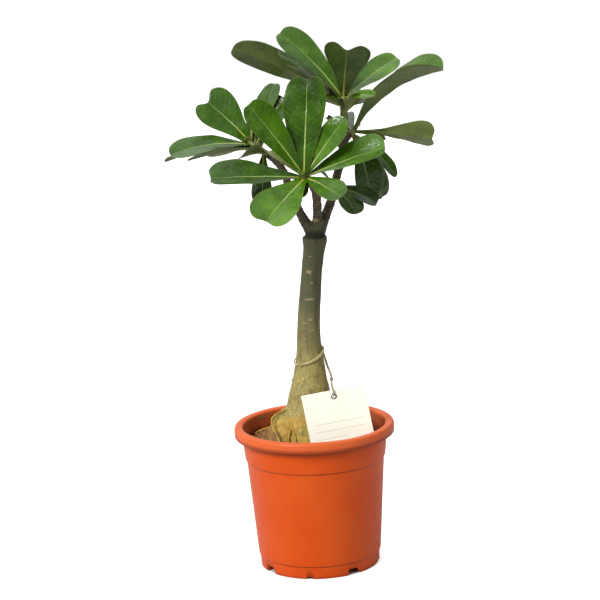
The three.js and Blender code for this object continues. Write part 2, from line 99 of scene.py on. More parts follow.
# ---- Shader bench and the effects that several finishes share ----


def paint(colour: Paint) -> tuple[float, float, float, float]:
    """A given colour, made linear.

    Args:
        colour: red, green and blue from 0 to 255, as seen.

    Returns:
        The linear colour with full alpha.
    """
    parts = [part / 255 for part in colour]
    linear = [part / 12.92 if part <= 0.04045 else ((part + 0.055) / 1.055) ** 2.4 for part in parts]
    return (linear[0], linear[1], linear[2], 1.0)


@dataclass
class Bench:
    """Adds and links the nodes of one material or one node group."""

    tree: NodeTree

    def feed(self, socket: NodeSocket, value: Feed) -> None:
        """Links a socket, or sets its value.

        Args:
            socket: the input.
            value: another node's output, or a plain value.
        """
        if isinstance(value, NodeSocket):
            self.tree.links.new(value, socket)
        else:
            socket.default_value = value

    def add(self, kind: str, feeds: Mapping[str | int, Feed] | None = None, **settings: object) -> Node:
        """Adds a node.

        Args:
            kind: the node's type.
            feeds: what goes into its inputs, by name or place.
            settings: the node's own options.

        Returns:
            The node.
        """
        node = self.tree.nodes.new(kind)
        for name, setting in settings.items():
            setattr(node, name, setting)
        for key, value in (feeds or {}).items():
            self.feed(node.inputs[key], value)
        return node

    def maths(self, operation: str, *feeds: Feed, clamp: bool = False) -> NodeSocket:
        """One sum on numbers.

        Args:
            operation: the Math node's operation.
            feeds: its inputs in order.
            clamp: whether the result stays from 0 to 1.

        Returns:
            The result.
        """
        inputs = dict(enumerate(feeds))
        return self.add("ShaderNodeMath", inputs, operation=operation, use_clamp=clamp).outputs[0]

    def vectors(self, operation: str, *feeds: Feed) -> NodeSocket:
        """One sum on vectors.

        Args:
            operation: the Vector Math node's operation.
            feeds: its inputs in order. The scale of SCALE is the second.

        Returns:
            The vector, or the number for LENGTH.
        """
        keys = [0, "Scale"] if operation == "SCALE" else [0, 1]
        node = self.add("ShaderNodeVectorMath", dict(zip(keys, feeds)), operation=operation)
        return node.outputs["Value" if operation == "LENGTH" else "Vector"]

    def times(self, *feeds: Feed) -> NodeSocket:
        """Several numbers multiplied."""
        return functools.reduce(lambda whole, feed: self.maths("MULTIPLY", whole, feed), feeds)

    def plus(self, *feeds: Feed) -> NodeSocket:
        """Several numbers added up."""
        return functools.reduce(lambda whole, feed: self.maths("ADD", whole, feed), feeds)

    def less(self, value: Feed, by: Feed) -> NodeSocket:
        """One number less another."""
        return self.maths("SUBTRACT", value, by)

    def swing(self, mask: Feed, width: float) -> NodeSocket:
        """A mask from 0 to 1, made to swing to both sides of 0 over a given width."""
        return self.times(self.less(mask, 0.5), width)

    def stretch(self, point: Feed, by: tuple[float, float, float]) -> NodeSocket:
        """A point with each axis multiplied, so that a pattern runs along one of them."""
        return self.vectors("MULTIPLY", point, by)

    def ease(self, value: Feed, start: Feed, end: Feed, low: float = 0.0, high: float = 1.0) -> NodeSocket:
        """A smooth step.

        Args:
            value: what is read.
            start: where it begins to change.
            end: where it has changed.
            low: the result before start.
            high: the result after end.

        Returns:
            The stepped value.
        """
        feeds = {0: value, 1: start, 2: end, 3: low, 4: high}
        return self.add("ShaderNodeMapRange", feeds, interpolation_type="SMOOTHSTEP").outputs[0]

    def mix(self, share: Feed, first: Feed, second: Feed) -> NodeSocket:
        """Mixes two colours.

        Args:
            share: how much of the second, from 0 to 1.
            first: the colour underneath, as an output or as seen.
            second: the colour on top, likewise.

        Returns:
            The mixed colour.
        """
        under, over = (paint(side) if isinstance(side, tuple) else side for side in (first, second))
        return self.add("ShaderNodeMix", {0: share, 6: under, 7: over}, data_type="RGBA").outputs[2]

    def part(self, point: Feed, axis: str) -> NodeSocket:
        """One of a point's three numbers."""
        return self.add("ShaderNodeSeparateXYZ", {0: point}).outputs[axis]

    def noise(self, point: Feed, scale: Feed, detail: float = 2.0, roughness: float = 0.5) -> NodeSocket:
        """Cloudy noise.

        Args:
            point: where it is read.
            scale: how many clouds to a millimetre.
            detail: how many finer layers it has.
            roughness: how strong those are.

        Returns:
            The noise, from 0 to 1.
        """
        feeds = {"Vector": point, "Scale": scale, "Detail": detail, "Roughness": roughness}
        return self.add("ShaderNodeTexNoise", feeds).outputs[0]

    def attribute(self, name: str) -> NodeSocket:
        """A number that the mesh carries at each corner."""
        return self.add("ShaderNodeAttribute", attribute_name=name).outputs["Fac"]

    def millimetres(self) -> NodeSocket:
        """The place on the object, in millimetres."""
        place = self.add("ShaderNodeTexCoord").outputs["Object"]
        return self.vectors("SCALE", place, 1 / MM)

    def bump(self, height: Feed, depth: float, strength: float = 1.0) -> NodeSocket:
        """Relief from a height.

        Args:
            height: from 0 to 1.
            depth: what 1 stands for.
            strength: how much of it shows.

        Returns:
            The normal.
        """
        feeds = {"Height": height, "Distance": depth * MM, "Strength": strength}
        return self.add("ShaderNodeBump", feeds).outputs[0]

    def effect(self, tree: NodeTree, **feeds: Feed) -> list[NodeSocket]:
        """Places a shared effect.

        Args:
            tree: the effect's node group.
            feeds: its inputs, by name.

        Returns:
            What the group puts out, in order.
        """
        return list(self.add("ShaderNodeGroup", feeds, node_tree=tree).outputs)

    def dress(self, shader: Node, colour: Feed, roughness: Feed, normal: Feed) -> None:
        """Feeds a shader its colour, its roughness and its normal."""
        for name, value in (("Base Color", colour), ("Roughness", roughness), ("Normal", normal)):
            self.feed(shader.inputs[name], value)


@dataclass(frozen=True)
class Finish:
    """A material to be made: its name and the numbers that are the same all over."""

    name: str
    specular: float = 0.5
    sheen: float = 0.0

    def start(self) -> tuple[Material, Bench, Node]:
        """Makes the bare material.

        Returns:
            The material, its bench and its shader.
        """
        material = bpy.data.materials.new(self.name)
        material.use_nodes = True
        shader = material.node_tree.nodes["Principled BSDF"]
        shader.inputs["Specular IOR Level"].default_value = self.specular
        shader.inputs["Sheen Weight"].default_value = self.sheen
        return material, Bench(material.node_tree), shader


class Effects:
    """Shader node groups that several finishes place with their own values."""

    def __init__(self) -> None:
        """Builds each group once."""
        self.mottling = self._mottling()
        self.specks = self._specks()
        self.scar = self._scar()
        self.grime = self._grime()
        self.veins = self._veins()

    def _group(
        self, name: str, vectors: Sequence[str], numbers: Sequence[str], outputs: Sequence[str]
    ) -> tuple[NodeTree, Bench, list[NodeSocket], Mapping[str, NodeSocket]]:
        """An empty group with its sockets.

        Args:
            name: what it is called.
            vectors: the names of the vectors that it takes.
            numbers: the names of the numbers that it takes.
            outputs: the names of the numbers that it puts out.

        Returns:
            The tree, its bench, what it is given in order, and the sockets of what it puts out.
        """
        tree = bpy.data.node_groups.new(name, "ShaderNodeTree")
        sockets = (("INPUT", "Vector", vectors), ("INPUT", "Float", numbers), ("OUTPUT", "Float", outputs))
        for way, kind, labels in sockets:
            for label in labels:
                tree.interface.new_socket(name=label, in_out=way, socket_type="NodeSocket" + kind)
        bench = Bench(tree)
        given = bench.add("NodeGroupInput").outputs[: len(vectors) + len(numbers)]
        return tree, bench, given, bench.add("NodeGroupOutput").inputs

    def _mottling(self) -> NodeTree:
        """Broad clouds, fine clouds and grain, each from 0 to 1.

        Returns:
            The group's tree.
        """
        tree, bench, (point, *sizes), out = self._group(
            "mottling", ["Point"], ["Broad", "Fine"], ["Broad", "Fine", "Grain"]
        )
        for label, size, detail in zip(("Broad", "Fine"), sizes, (3.0, 4.0)):
            bench.feed(out[label], bench.noise(point, bench.maths("DIVIDE", 1.0, size), detail, 0.55))
        bench.feed(out["Grain"], bench.noise(point, bench.maths("DIVIDE", 6.0, sizes[1]), 2.0, 0.6))
        return tree

    def _specks(self) -> NodeTree:
        """Scattered round specks: one to a cell of the given spacing, in a share of the cells.

        Returns:
            The group's tree.
        """
        tree, bench, (point, spacing, size, share), out = self._group(
            "specks", ["Point"], ["Spacing", "Size", "Share"], ["Mask"]
        )
        scale = bench.maths("DIVIDE", 1.0, spacing)
        cells = bench.add("ShaderNodeTexVoronoi", {"Vector": point, "Scale": scale})
        chance = bench.add("ShaderNodeSeparateColor", {0: cells.outputs["Color"]}).outputs[0]
        spot = bench.ease(cells.outputs["Distance"], bench.times(size, 0.55), size, 1.0, 0.0)
        bench.feed(out["Mask"], bench.times(spot, bench.maths("LESS_THAN", chance, share)))
        return tree

    def _scar(self) -> NodeTree:
        """One oval scar: its face and the lip round it.

        Returns:
            The group's tree.
        """
        tree, bench, (point, centre, half), out = self._group(
            "oval_scar", ["Point", "Centre", "Half"], [], ["Face", "Lip"]
        )
        scaled = bench.vectors("DIVIDE", bench.vectors("SUBTRACT", point, centre), half)
        ragged = bench.swing(bench.noise(point, 0.7, 2.0), 1.1)
        far = bench.plus(bench.vectors("LENGTH", scaled), ragged)
        face = bench.ease(far, 0.6, 1.05, 1.0, 0.0)
        wide = bench.ease(far, 1.0, 1.5, 1.0, 0.0)
        bench.feed(out["Face"], face)
        bench.feed(out["Lip"], bench.maths("SUBTRACT", wide, face, clamp=True))
        return tree

    def _grime(self) -> NodeTree:
        """Dirt that fades upwards from a level, in ragged splashes.

        Returns:
            The group's tree.
        """
        tree, bench, (point, level, reach, size), out = self._group(
            "grime", ["Point"], ["Level", "Reach", "Size"], ["Mask"]
        )
        near = bench.ease(bench.part(point, "Z"), level, bench.plus(level, reach), 1.0, 0.0)
        cloud = bench.noise(point, bench.maths("DIVIDE", 1.0, size), 5.0, 0.65)
        ragged = bench.less(bench.plus(near, cloud), 0.85)
        bench.feed(out["Mask"], bench.maths("MULTIPLY", ragged, 3.0, clamp=True))
        return tree

    def _veins(self) -> NodeTree:
        """A leaf's midrib, side veins and net of fine veins.

        'Across' and 'Along' are the place on the blade from the midrib and from the stalk, and
        'Reach' the blade's length.

        Returns:
            The group's tree.
        """
        tree, bench, (across, along, reach, spacing), out = self._group(
            "leaf_veins", [], ["Across", "Along", "Reach", "Spacing"], ["Rib", "Veins", "Net"]
        )
        out_by = bench.maths("ABSOLUTE", across)
        done = bench.maths("DIVIDE", along, reach, clamp=True)
        wide = bench.ease(done, 0.0, 1.0, 0.95, 0.25)
        bench.feed(out["Rib"], bench.ease(bench.maths("DIVIDE", out_by, wide), 0.55, 1.1, 1.0, 0.0))
        flat = bench.add("ShaderNodeCombineXYZ", {"X": across, "Y": along}).outputs[0]
        sway = bench.times(bench.noise(flat, 0.12, 1.0), 4.0)
        curve = bench.times(bench.maths("POWER", out_by, 2.0), 0.012)
        start = bench.less(bench.less(along, bench.times(out_by, 0.5)), curve)
        other_side = bench.times(bench.maths("GREATER_THAN", across, 0.0), 2.3)
        beat = bench.maths("FRACT", bench.maths("DIVIDE", bench.plus(start, other_side, sway), spacing))
        near = bench.maths("ABSOLUTE", bench.less(beat, 0.5))
        bench.feed(out["Veins"], bench.ease(near, 0.0, 0.13, 1.0, 0.0))
        cells = bench.add("ShaderNodeTexVoronoi", {"Vector": flat, "Scale": 0.62}, feature="DISTANCE_TO_EDGE")
        bench.feed(out["Net"], bench.ease(cells.outputs["Distance"], 0.0, 0.16, 1.0, 0.0))
        return tree


# ---- Finishes ----


@dataclass(frozen=True)
class PotPlastic(Finish):
    """Satin moulded plastic, scuffed, with painted shade in its creases and under its rolled rim, an inner
    wall painted duller and darker, partly as a film of soil and partly as painted shade, and dirt splashed up
    it.
    """

    body: Paint = (214, 78, 4)
    faded: Paint = (224, 98, 30)
    deep: Paint = (138, 44, 8)
    # Dark brown: dirt splashed inside the pot, darker towards the foot, and painted shade in the creases and
    # under the rim.
    dirt_and_shade: Paint = (84, 46, 30)
    dusty: Paint = (212, 124, 80)
    # Inner wall: a film of soil and painted shade.
    inner: Paint = (166, 94, 64)
    splash: Paint = (128, 128, 100)
    soiled_from: float = 112.0
    shaded_creases: tuple[Row, ...] = ((104.3, 0.9, 0.6), (12.0, 0.9, 0.75), (127.0, 5.0, 0.6))
    splash_at: Row = (-51.0, 43.5, 132.6)
    splash_size: Row = (4.5, 5.0, 2.2)

    def material(self, effects: Effects) -> Material:
        """The finish on the pot.

        Args:
            effects: the shared effects.

        Returns:
            The material.
        """
        material, bench, shader = self.start()
        point = bench.millimetres()
        height, inside = bench.part(point, "Z"), bench.attribute("inside")
        broad, fine, grain = bench.effect(effects.mottling, Point=point, Broad=46.0, Fine=7.0)
        base = bench.mix(bench.ease(broad, 0.4, 0.7, 0.0, 0.35), self.body, self.faded)
        base = bench.mix(bench.ease(fine, 0.55, 0.8, 0.0, 0.14), base, self.deep)
        scuffs = bench.noise(bench.stretch(point, (0.02, 0.02, 1.1)), 1.0, 3.0, 0.7)
        scuffed = bench.ease(scuffs, 0.64, 0.78, 0.0, 0.28)
        base = bench.mix(scuffed, base, self.faded)
        rim = bench.ease(bench.plus(height, bench.times(fine, 6.0)), 131.0, 135.0, 0.0, 0.34)
        base = bench.mix(rim, base, self.dusty)
        # Painted shade: dark bands at the stacking ledge, at the foot band's step and under the rolled rim,
        # on the outside only.
        for level, half, strength in self.shaded_creases:
            off = bench.maths("ABSOLUTE", bench.less(height, level))
            line = bench.times(bench.ease(off, half * 0.2, half, strength, 0.0), bench.less(1.0, inside))
            base = bench.mix(line, base, self.dirt_and_shade)
        foot = bench.effect(effects.grime, Point=point, Level=-2.0, Reach=9.0, Size=5.0)[0]
        base = bench.mix(bench.times(foot, 0.3), base, self.dirt_and_shade)
        splashed = bench.effect(effects.grime, Point=point, Level=self.soiled_from, Reach=24.0, Size=8.0)[0]
        soiled = bench.times(splashed, inside)
        # The whole inner wall is painted duller and a little darker: partly a film of soil, partly painted
        # shade.
        base = bench.mix(bench.times(inside, 0.7), base, self.inner)
        base = bench.mix(bench.times(soiled, 0.7), base, self.dirt_and_shade)
        flecks = bench.effect(effects.specks, Point=point, Spacing=6.0, Size=0.3, Share=0.16)[0]
        blot = bench.effect(effects.scar, Point=point, Centre=self.splash_at, Half=self.splash_size)[0]
        marks = bench.maths("MAXIMUM", bench.times(flecks, 0.6), blot)
        base = bench.mix(bench.times(marks, inside, 0.8), base, self.splash)
        satin = bench.ease(fine, 0.3, 0.7, 0.36, 0.46)
        relief = bench.plus(bench.times(grain, 0.35), bench.times(scuffed, 0.6))
        bench.dress(shader, base, bench.plus(satin, bench.times(soiled, 0.35)), bench.bump(relief, 0.05, 0.6))
        return material


@dataclass(frozen=True)
class PottingSoil(Finish):
    """Coarse brown mix: crumbs, coir and a little grit, each crumb with its own tone."""

    dark: Paint = (96, 58, 40)
    middle: Paint = (154, 108, 64)
    warm: Paint = (182, 134, 80)
    pale: Paint = (206, 184, 130)
    mossy: Paint = (84, 86, 48)

    def material(self, effects: Effects) -> Material:
        """The finish on the soil and on all that lies on it.

        Args:
            effects: the shared effects.

        Returns:
            The material.
        """
        material, bench, shader = self.start()
        point, tone = bench.millimetres(), bench.attribute("tone")
        broad, fine, grain = bench.effect(effects.mottling, Point=point, Broad=17.0, Fine=2.4)
        base = bench.mix(bench.ease(fine, 0.35, 0.65), self.dark, self.middle)
        base = bench.mix(bench.ease(broad, 0.5, 0.75, 0.0, 0.5), base, self.mossy)
        base = bench.mix(bench.ease(tone, 0.35, 0.75, 0.0, 0.85), base, self.warm)
        base = bench.mix(bench.ease(tone, 0.8, 1.0), base, self.pale)
        grit = bench.effect(effects.specks, Point=point, Spacing=2.6, Size=0.32, Share=0.14)[0]
        base = bench.mix(bench.times(grit, 0.6), base, self.pale)
        bench.dress(shader, base, bench.ease(fine, 0.2, 0.8, 0.84, 0.98), bench.bump(grain, 0.6, 0.8))
        return material


@dataclass(frozen=True)
class Bark(Finish):
    """Smooth desert-rose bark: ochre and green on the swollen base, tan and then grey-olive up the
    stem, grey-brown with ringed leaf scars on the branches."""

    ochre: Paint = (160, 124, 42)
    straw: Paint = (190, 158, 76)
    moss: Paint = (112, 118, 40)
    tan: Paint = (156, 142, 84)
    olive: Paint = (118, 112, 72)
    upper: Paint = (84, 86, 58)
    green: Paint = (96, 108, 50)
    grey: Paint = (84, 76, 60)
    dusk: Paint = (62, 55, 42)
    scar: Paint = (186, 170, 126)
    cork: Paint = (140, 118, 88)
    fleck: Paint = (196, 176, 98)
    rust: Paint = (104, 72, 44)
    # Near black for the painted shade in the crevice at the graft.
    crevice_shade: Paint = (34, 31, 24)
    earth: Paint = (152, 106, 64)
    skirt: float = 150.5
    flecks: tuple[Row, ...] = ((4.6, 0.4, 0.7), (2.3, 0.3, 0.5))
    scars: tuple[tuple[Row, Row, float], ...] = (
        ((1.6, -10.0, 284.5), (3.4, 6.0, 2.4), 0.5),
        ((1.5, -10.5, 258.5), (5.6, 6.0, 1.3), 0.42),
        ((3.6, -10.0, 299.0), (2.4, 5.0, 0.8), 0.35),
        ((3.6, -10.5, 274.0), (2.4, 5.0, 0.9), 0.4),
        ((1.0, -11.0, 239.0), (2.6, 5.0, 1.0), 0.4),
        ((3.0, -11.5, 229.0), (2.8, 5.0, 0.9), 0.35),
        ((-4.5, -11.5, 236.0), (2.4, 5.0, 0.9), 0.45),
        ((-5.0, -12.0, 221.0), (2.6, 5.0, 0.9), 0.4),
        ((11.0, 7.0, 268.0), (3.6, 5.0, 2.2), 0.5),
        ((-8.0, 8.0, 247.0), (3.4, 5.0, 2.0), 0.5),
        ((4.0, 11.0, 228.0), (4.0, 6.0, 2.4), 0.5),
        ((10.6, -5.6, 333.0), (4.6, 5.0, 3.4), 0.6),
    )

    def material(self, effects: Effects) -> Material:
        """The finish on everything woody.

        Args:
            effects: the shared effects.

        Returns:
            The material.
        """
        material, bench, shader = self.start()
        point = bench.millimetres()
        height = bench.part(point, "Z")
        branch, root, rings = (bench.attribute(name) for name in ("branch", "root", "ring"))
        broad, fine, grain = bench.effect(effects.mottling, Point=point, Broad=24.0, Fine=5.0)
        uneven = bench.plus(height, bench.swing(broad, 46.0))
        low = bench.mix(bench.ease(fine, 0.35, 0.68), self.ochre, self.straw)
        low = bench.mix(bench.ease(broad, 0.5, 0.66, 0.0, 0.7), low, self.moss)
        bark = bench.mix(bench.ease(uneven, 186.0, 226.0), self.tan, self.olive)
        bark = bench.mix(bench.ease(uneven, 226.0, 262.0), bark, self.upper)
        streaks = bench.noise(bench.stretch(point, (0.3, 0.3, 0.028)), 1.0, 3.0, 0.6)
        bark = bench.mix(bench.ease(streaks, 0.5, 0.7, 0.0, 0.55), bark, self.dusk)
        bark = bench.mix(bench.ease(streaks, 0.46, 0.3, 0.0, 0.4), bark, self.green)
        patches = bench.ease(bench.noise(bench.stretch(point, (0.14, 0.14, 0.06)), 1.0, 2.0), 0.6, 0.7)
        bark = bench.mix(bench.times(patches, 0.45), bark, self.rust)
        edge = bench.plus(height, bench.swing(fine, 10.0))
        colour = bench.mix(bench.ease(edge, self.skirt - 2, self.skirt + 2), low, bark)
        dashes = bench.noise(bench.stretch(point, (0.22, 0.22, 1.5)), 1.0, 2.0, 0.55)
        dash = bench.ease(dashes, 0.64, 0.72)
        colour = bench.mix(bench.times(dash, 0.4), colour, self.scar)
        for spacing, share, strength in self.flecks:
            flecks = bench.effect(effects.specks, Point=point, Spacing=spacing, Size=0.3, Share=share)[0]
            lower = bench.ease(height, 236.0, 196.0, 0.0, strength)
            colour = bench.mix(bench.times(flecks, lower), colour, self.fleck)

        wood = bench.mix(bench.ease(fine, 0.35, 0.7), self.dusk, self.grey)
        wood = bench.mix(bench.ease(rings, 0.55, 0.95, 0.0, 0.45), wood, self.cork)
        colour = bench.mix(branch, colour, wood)
        faces, lips = self._scars(bench, effects, point)
        colour = bench.mix(faces, colour, self.scar)
        colour = bench.mix(bench.times(lips, 0.5), colour, self.dusk)
        thread = bench.mix(bench.ease(fine, 0.4, 0.66), self.ochre, self.straw)
        colour = bench.mix(bench.times(root, 0.8), colour, thread)
        ragged = bench.swing(fine, 14.0)
        flank = bench.plus(bench.part(point, "X"), bench.times(height, 0.5), ragged)
        below = bench.ease(bench.plus(height, ragged), 143.0, 139.0)
        clinging = bench.times(below, bench.ease(flank, 36.0, 33.0), bench.less(1.0, root), 0.85)
        earth = bench.mix(bench.ease(grain, 0.35, 0.65), self.rust, self.earth)
        colour = bench.mix(clinging, colour, earth)
        # Painted shade: a dark band where the stock's cut ledge meets the narrower scion above it.
        ledge = bench.times(bench.ease(height, 315.0, 317.0), bench.ease(height, 325.0, 320.0), 0.9)
        colour = bench.mix(ledge, colour, self.crevice_shade)
        relief = bench.plus(
            bench.times(fine, 0.6), bench.times(dash, 0.3), bench.times(lips, 0.6),
            bench.times(grain, 0.25), bench.times(streaks, 0.8),
        )
        bench.dress(shader, colour, bench.ease(fine, 0.3, 0.75, 0.55, 0.8), bench.bump(relief, 0.6, 0.8))
        return material

    def _scars(self, bench: Bench, effects: Effects, point: NodeSocket) -> tuple[Feed, Feed]:
        """The faces and lips of all the oval scars.

        Args:
            bench: the material's bench.
            effects: the shared effects.
            point: the place on the object.

        Returns:
            The two masks.
        """
        masks: list[Feed] = [0.0, 0.0]
        for centre, half, strength in self.scars:
            scar = bench.effect(effects.scar, Point=point, Centre=centre, Half=half)
            for k, mask in enumerate(scar):
                masks[k] = bench.maths("MAXIMUM", masks[k], bench.times(mask, strength))
        return masks[0], masks[1]


@dataclass(frozen=True)
class Foliage(Finish):
    """Leathery leaves: waxy green above, matt olive below, with a pale midrib that warms to
    orange at the stalk. The same finish covers the green stem tips."""

    shade: Paint = (30, 56, 4)
    green: Paint = (54, 94, 6)
    bright: Paint = (84, 130, 8)
    bloom: Paint = (122, 148, 84)
    vein: Paint = (104, 142, 44)
    rib: Paint = (168, 190, 104)
    stalk: Paint = (190, 178, 84)
    blush: Paint = (176, 118, 58)
    under_dark: Paint = (50, 70, 20)
    under_pale: Paint = (98, 114, 50)
    under_rib: Paint = (132, 138, 76)
    margin: Paint = (116, 126, 66)
    old_margin: Paint = (112, 84, 56)
    stem: Paint = (104, 106, 52)
    young: Paint = (134, 138, 50)
    vein_spacing: float = 5.6

    def material(self, effects: Effects) -> Material:
        """The finish on a shoot.

        Args:
            effects: the shared effects.

        Returns:
            The material.
        """
        material, bench, shader = self.start()
        across, along, reach, half, upper, tone, stem = (bench.attribute(name) for name in BLADE_NUMBERS)
        broad, fine, grain = bench.effect(effects.mottling, Point=bench.millimetres(), Broad=20.0, Fine=4.0)
        rib, side_veins, net = bench.effect(
            effects.veins, Across=across, Along=along, Reach=reach, Spacing=self.vein_spacing
        )
        vigour = bench.plus(tone, bench.plus(bench.swing(broad, 1.7), bench.swing(fine, 0.35)))

        top = bench.mix(bench.ease(vigour, -0.25, 0.6), self.shade, self.green)
        top = bench.mix(bench.ease(vigour, 0.4, 1.2), top, self.bright)
        top = bench.mix(bench.ease(tone, 1.2, 1.8), top, self.young)
        top = bench.mix(bench.times(net, 0.12), top, self.vein)
        top = bench.mix(bench.times(side_veins, 0.16), top, self.vein)
        dusty = bench.times(bench.ease(fine, 0.5, 0.72), bench.ease(broad, 0.45, 0.65), 0.14)
        top = bench.mix(dusty, top, self.bloom)

        under = bench.mix(bench.ease(vigour, -0.2, 1.0), self.under_dark, self.under_pale)
        under = bench.mix(bench.times(side_veins, 0.16), under, self.under_rib)
        under = bench.mix(bench.times(net, 0.12), under, self.under_dark)

        near_stalk = bench.ease(along, 24.0, 5.0)
        warm_rib = bench.mix(near_stalk, self.rib, self.stalk)
        warm_rib = bench.mix(bench.ease(along, 7.0, 1.5, 0.0, 0.8), warm_rib, self.blush)
        fading = bench.ease(bench.maths("DIVIDE", along, reach), 0.35, 0.95, 0.88, 0.4)
        top = bench.mix(bench.times(rib, fading), top, warm_rib)
        low_rib = bench.mix(near_stalk, self.under_rib, self.stalk)
        under = bench.mix(bench.times(rib, 0.75), under, low_rib)
        colour = bench.mix(upper, under, top)

        from_edge = bench.less(half, bench.maths("ABSOLUTE", across))
        edge_paint = bench.mix(bench.ease(broad, 0.45, 0.6), self.margin, self.old_margin)
        edge = bench.times(bench.ease(from_edge, 0.8, 0.2, 0.0, 0.5), bench.ease(along, 8.0, 20.0))
        colour = bench.mix(edge, colour, edge_paint)
        bare = bench.mix(bench.ease(fine, 0.35, 0.7), self.stem, self.under_rib)
        colour = bench.mix(stem, colour, bare)

        wax = bench.ease(fine, 0.3, 0.7, 0.12, 0.26)
        matt = bench.times(bench.less(1.0, upper), 0.3)
        relief = bench.plus(
            bench.times(rib, -0.4), bench.times(side_veins, -0.12), bench.times(net, -0.04),
            bench.times(fine, 0.5), bench.times(broad, 2.6), bench.times(grain, 0.04),
        )
        bench.dress(shader, colour, bench.plus(wax, matt), bench.bump(relief, 0.8, 0.7))
        return material


@dataclass(frozen=True)
class CardStock(Finish):
    """Ivory card with a paper tooth, faint handling marks and three ruled lines to write on."""

    ivory: Paint = (255, 255, 240)
    warm: Paint = (252, 251, 226)
    rule: Paint = (168, 184, 150)
    rules: tuple[Row, ...] = ((7.0, 54.0, -30.0), (7.0, 54.0, -37.0), (7.0, 36.0, -44.0))
    rule_width: float = 0.28

    def material(self, effects: Effects) -> Material:
        """The finish on the card. Its UV map is millimetres from the card's top left corner.

        Args:
            effects: the shared effects.

        Returns:
            The material.
        """
        material, bench, shader = self.start()
        flat = bench.add("ShaderNodeUVMap", uv_map="card").outputs[0]
        right, up = bench.part(flat, "X"), bench.part(flat, "Y")
        broad, _, _ = bench.effect(effects.mottling, Point=flat, Broad=24.0, Fine=3.0)
        base = bench.mix(bench.ease(broad, 0.4, 0.75, 0.0, 0.6), self.ivory, self.warm)
        fibres = bench.noise(bench.stretch(flat, (0.9, 4.0, 1.0)), 1.0, 3.0, 0.6)
        base = bench.mix(bench.ease(fibres, 0.6, 0.75, 0.0, 0.25), base, self.warm)
        lines: Feed = 0.0
        for start, end, height in self.rules:
            off = bench.maths("ABSOLUTE", bench.less(up, height))
            line = bench.ease(off, self.rule_width * 0.5, self.rule_width, 1.0, 0.0)
            past, short = bench.maths("GREATER_THAN", right, start), bench.maths("LESS_THAN", right, end)
            lines = bench.maths("MAXIMUM", lines, bench.times(line, past, short))
        base = bench.mix(bench.times(lines, bench.attribute("front"), 0.7), base, self.rule)
        bench.dress(shader, base, bench.ease(fibres, 0.3, 0.7, 0.55, 0.75), bench.bump(fibres, 0.06, 0.5))
        return material


@dataclass(frozen=True)
class EyeletMetal(Finish):
    """Plated metal, dulled by wear in patches."""

    bright: Paint = (196, 196, 190)
    dull: Paint = (128, 126, 118)

    def material(self, effects: Effects) -> Material:
        """The finish on the eyelet.

        Args:
            effects: the shared effects.

        Returns:
            The material.
        """
        material, bench, shader = self.start()
        broad, fine, _ = bench.effect(effects.mottling, Point=bench.millimetres(), Broad=2.2, Fine=0.5)
        colour = bench.mix(bench.ease(broad, 0.4, 0.65), self.bright, self.dull)
        bench.feed(shader.inputs["Metallic"], bench.ease(broad, 0.45, 0.8, 1.0, 0.8))
        bench.dress(shader, colour, bench.ease(fine, 0.3, 0.7, 0.24, 0.42), bench.bump(fine, 0.03, 0.5))
        return material


@dataclass(frozen=True)
class TwineFibre(Finish):
    """Two-ply natural twine: pale fibres with darker gaps between them, greyer where it hangs."""

    pale: Paint = (214, 200, 150)
    straw: Paint = (178, 156, 104)
    grey: Paint = (128, 120, 96)
    hangs_from: float = 13.5

    def material(self, effects: Effects) -> Material:
        """The finish on the twine.

        Args:
            effects: the shared effects.

        Returns:
            The material.
        """
        material, bench, shader = self.start()
        round_x, round_y, run = (bench.attribute(name) for name in TWINE_NUMBERS)
        lie = bench.add("ShaderNodeCombineXYZ", {"X": round_x, "Y": round_y, "Z": run}).outputs[0]
        fibres = bench.noise(bench.stretch(lie, (2.4, 2.4, 0.35)), 1.0, 3.0, 0.65)
        point = bench.millimetres()
        broad, _, _ = bench.effect(effects.mottling, Point=point, Broad=7.0, Fine=1.2)
        colour = bench.mix(bench.ease(fibres, 0.35, 0.6), self.straw, self.pale)
        colour = bench.mix(bench.ease(broad, 0.48, 0.7, 0.0, 0.6), colour, self.grey)
        hanging = bench.ease(bench.part(point, "X"), self.hangs_from, self.hangs_from + 2, 0.0, 0.5)
        colour = bench.mix(hanging, colour, self.grey)
        bench.dress(shader, colour, bench.ease(fibres, 0.3, 0.7, 0.95, 0.8), bench.bump(fibres, 0.2, 0.9))
        return material


# ---- Shared ways of making a mesh ----


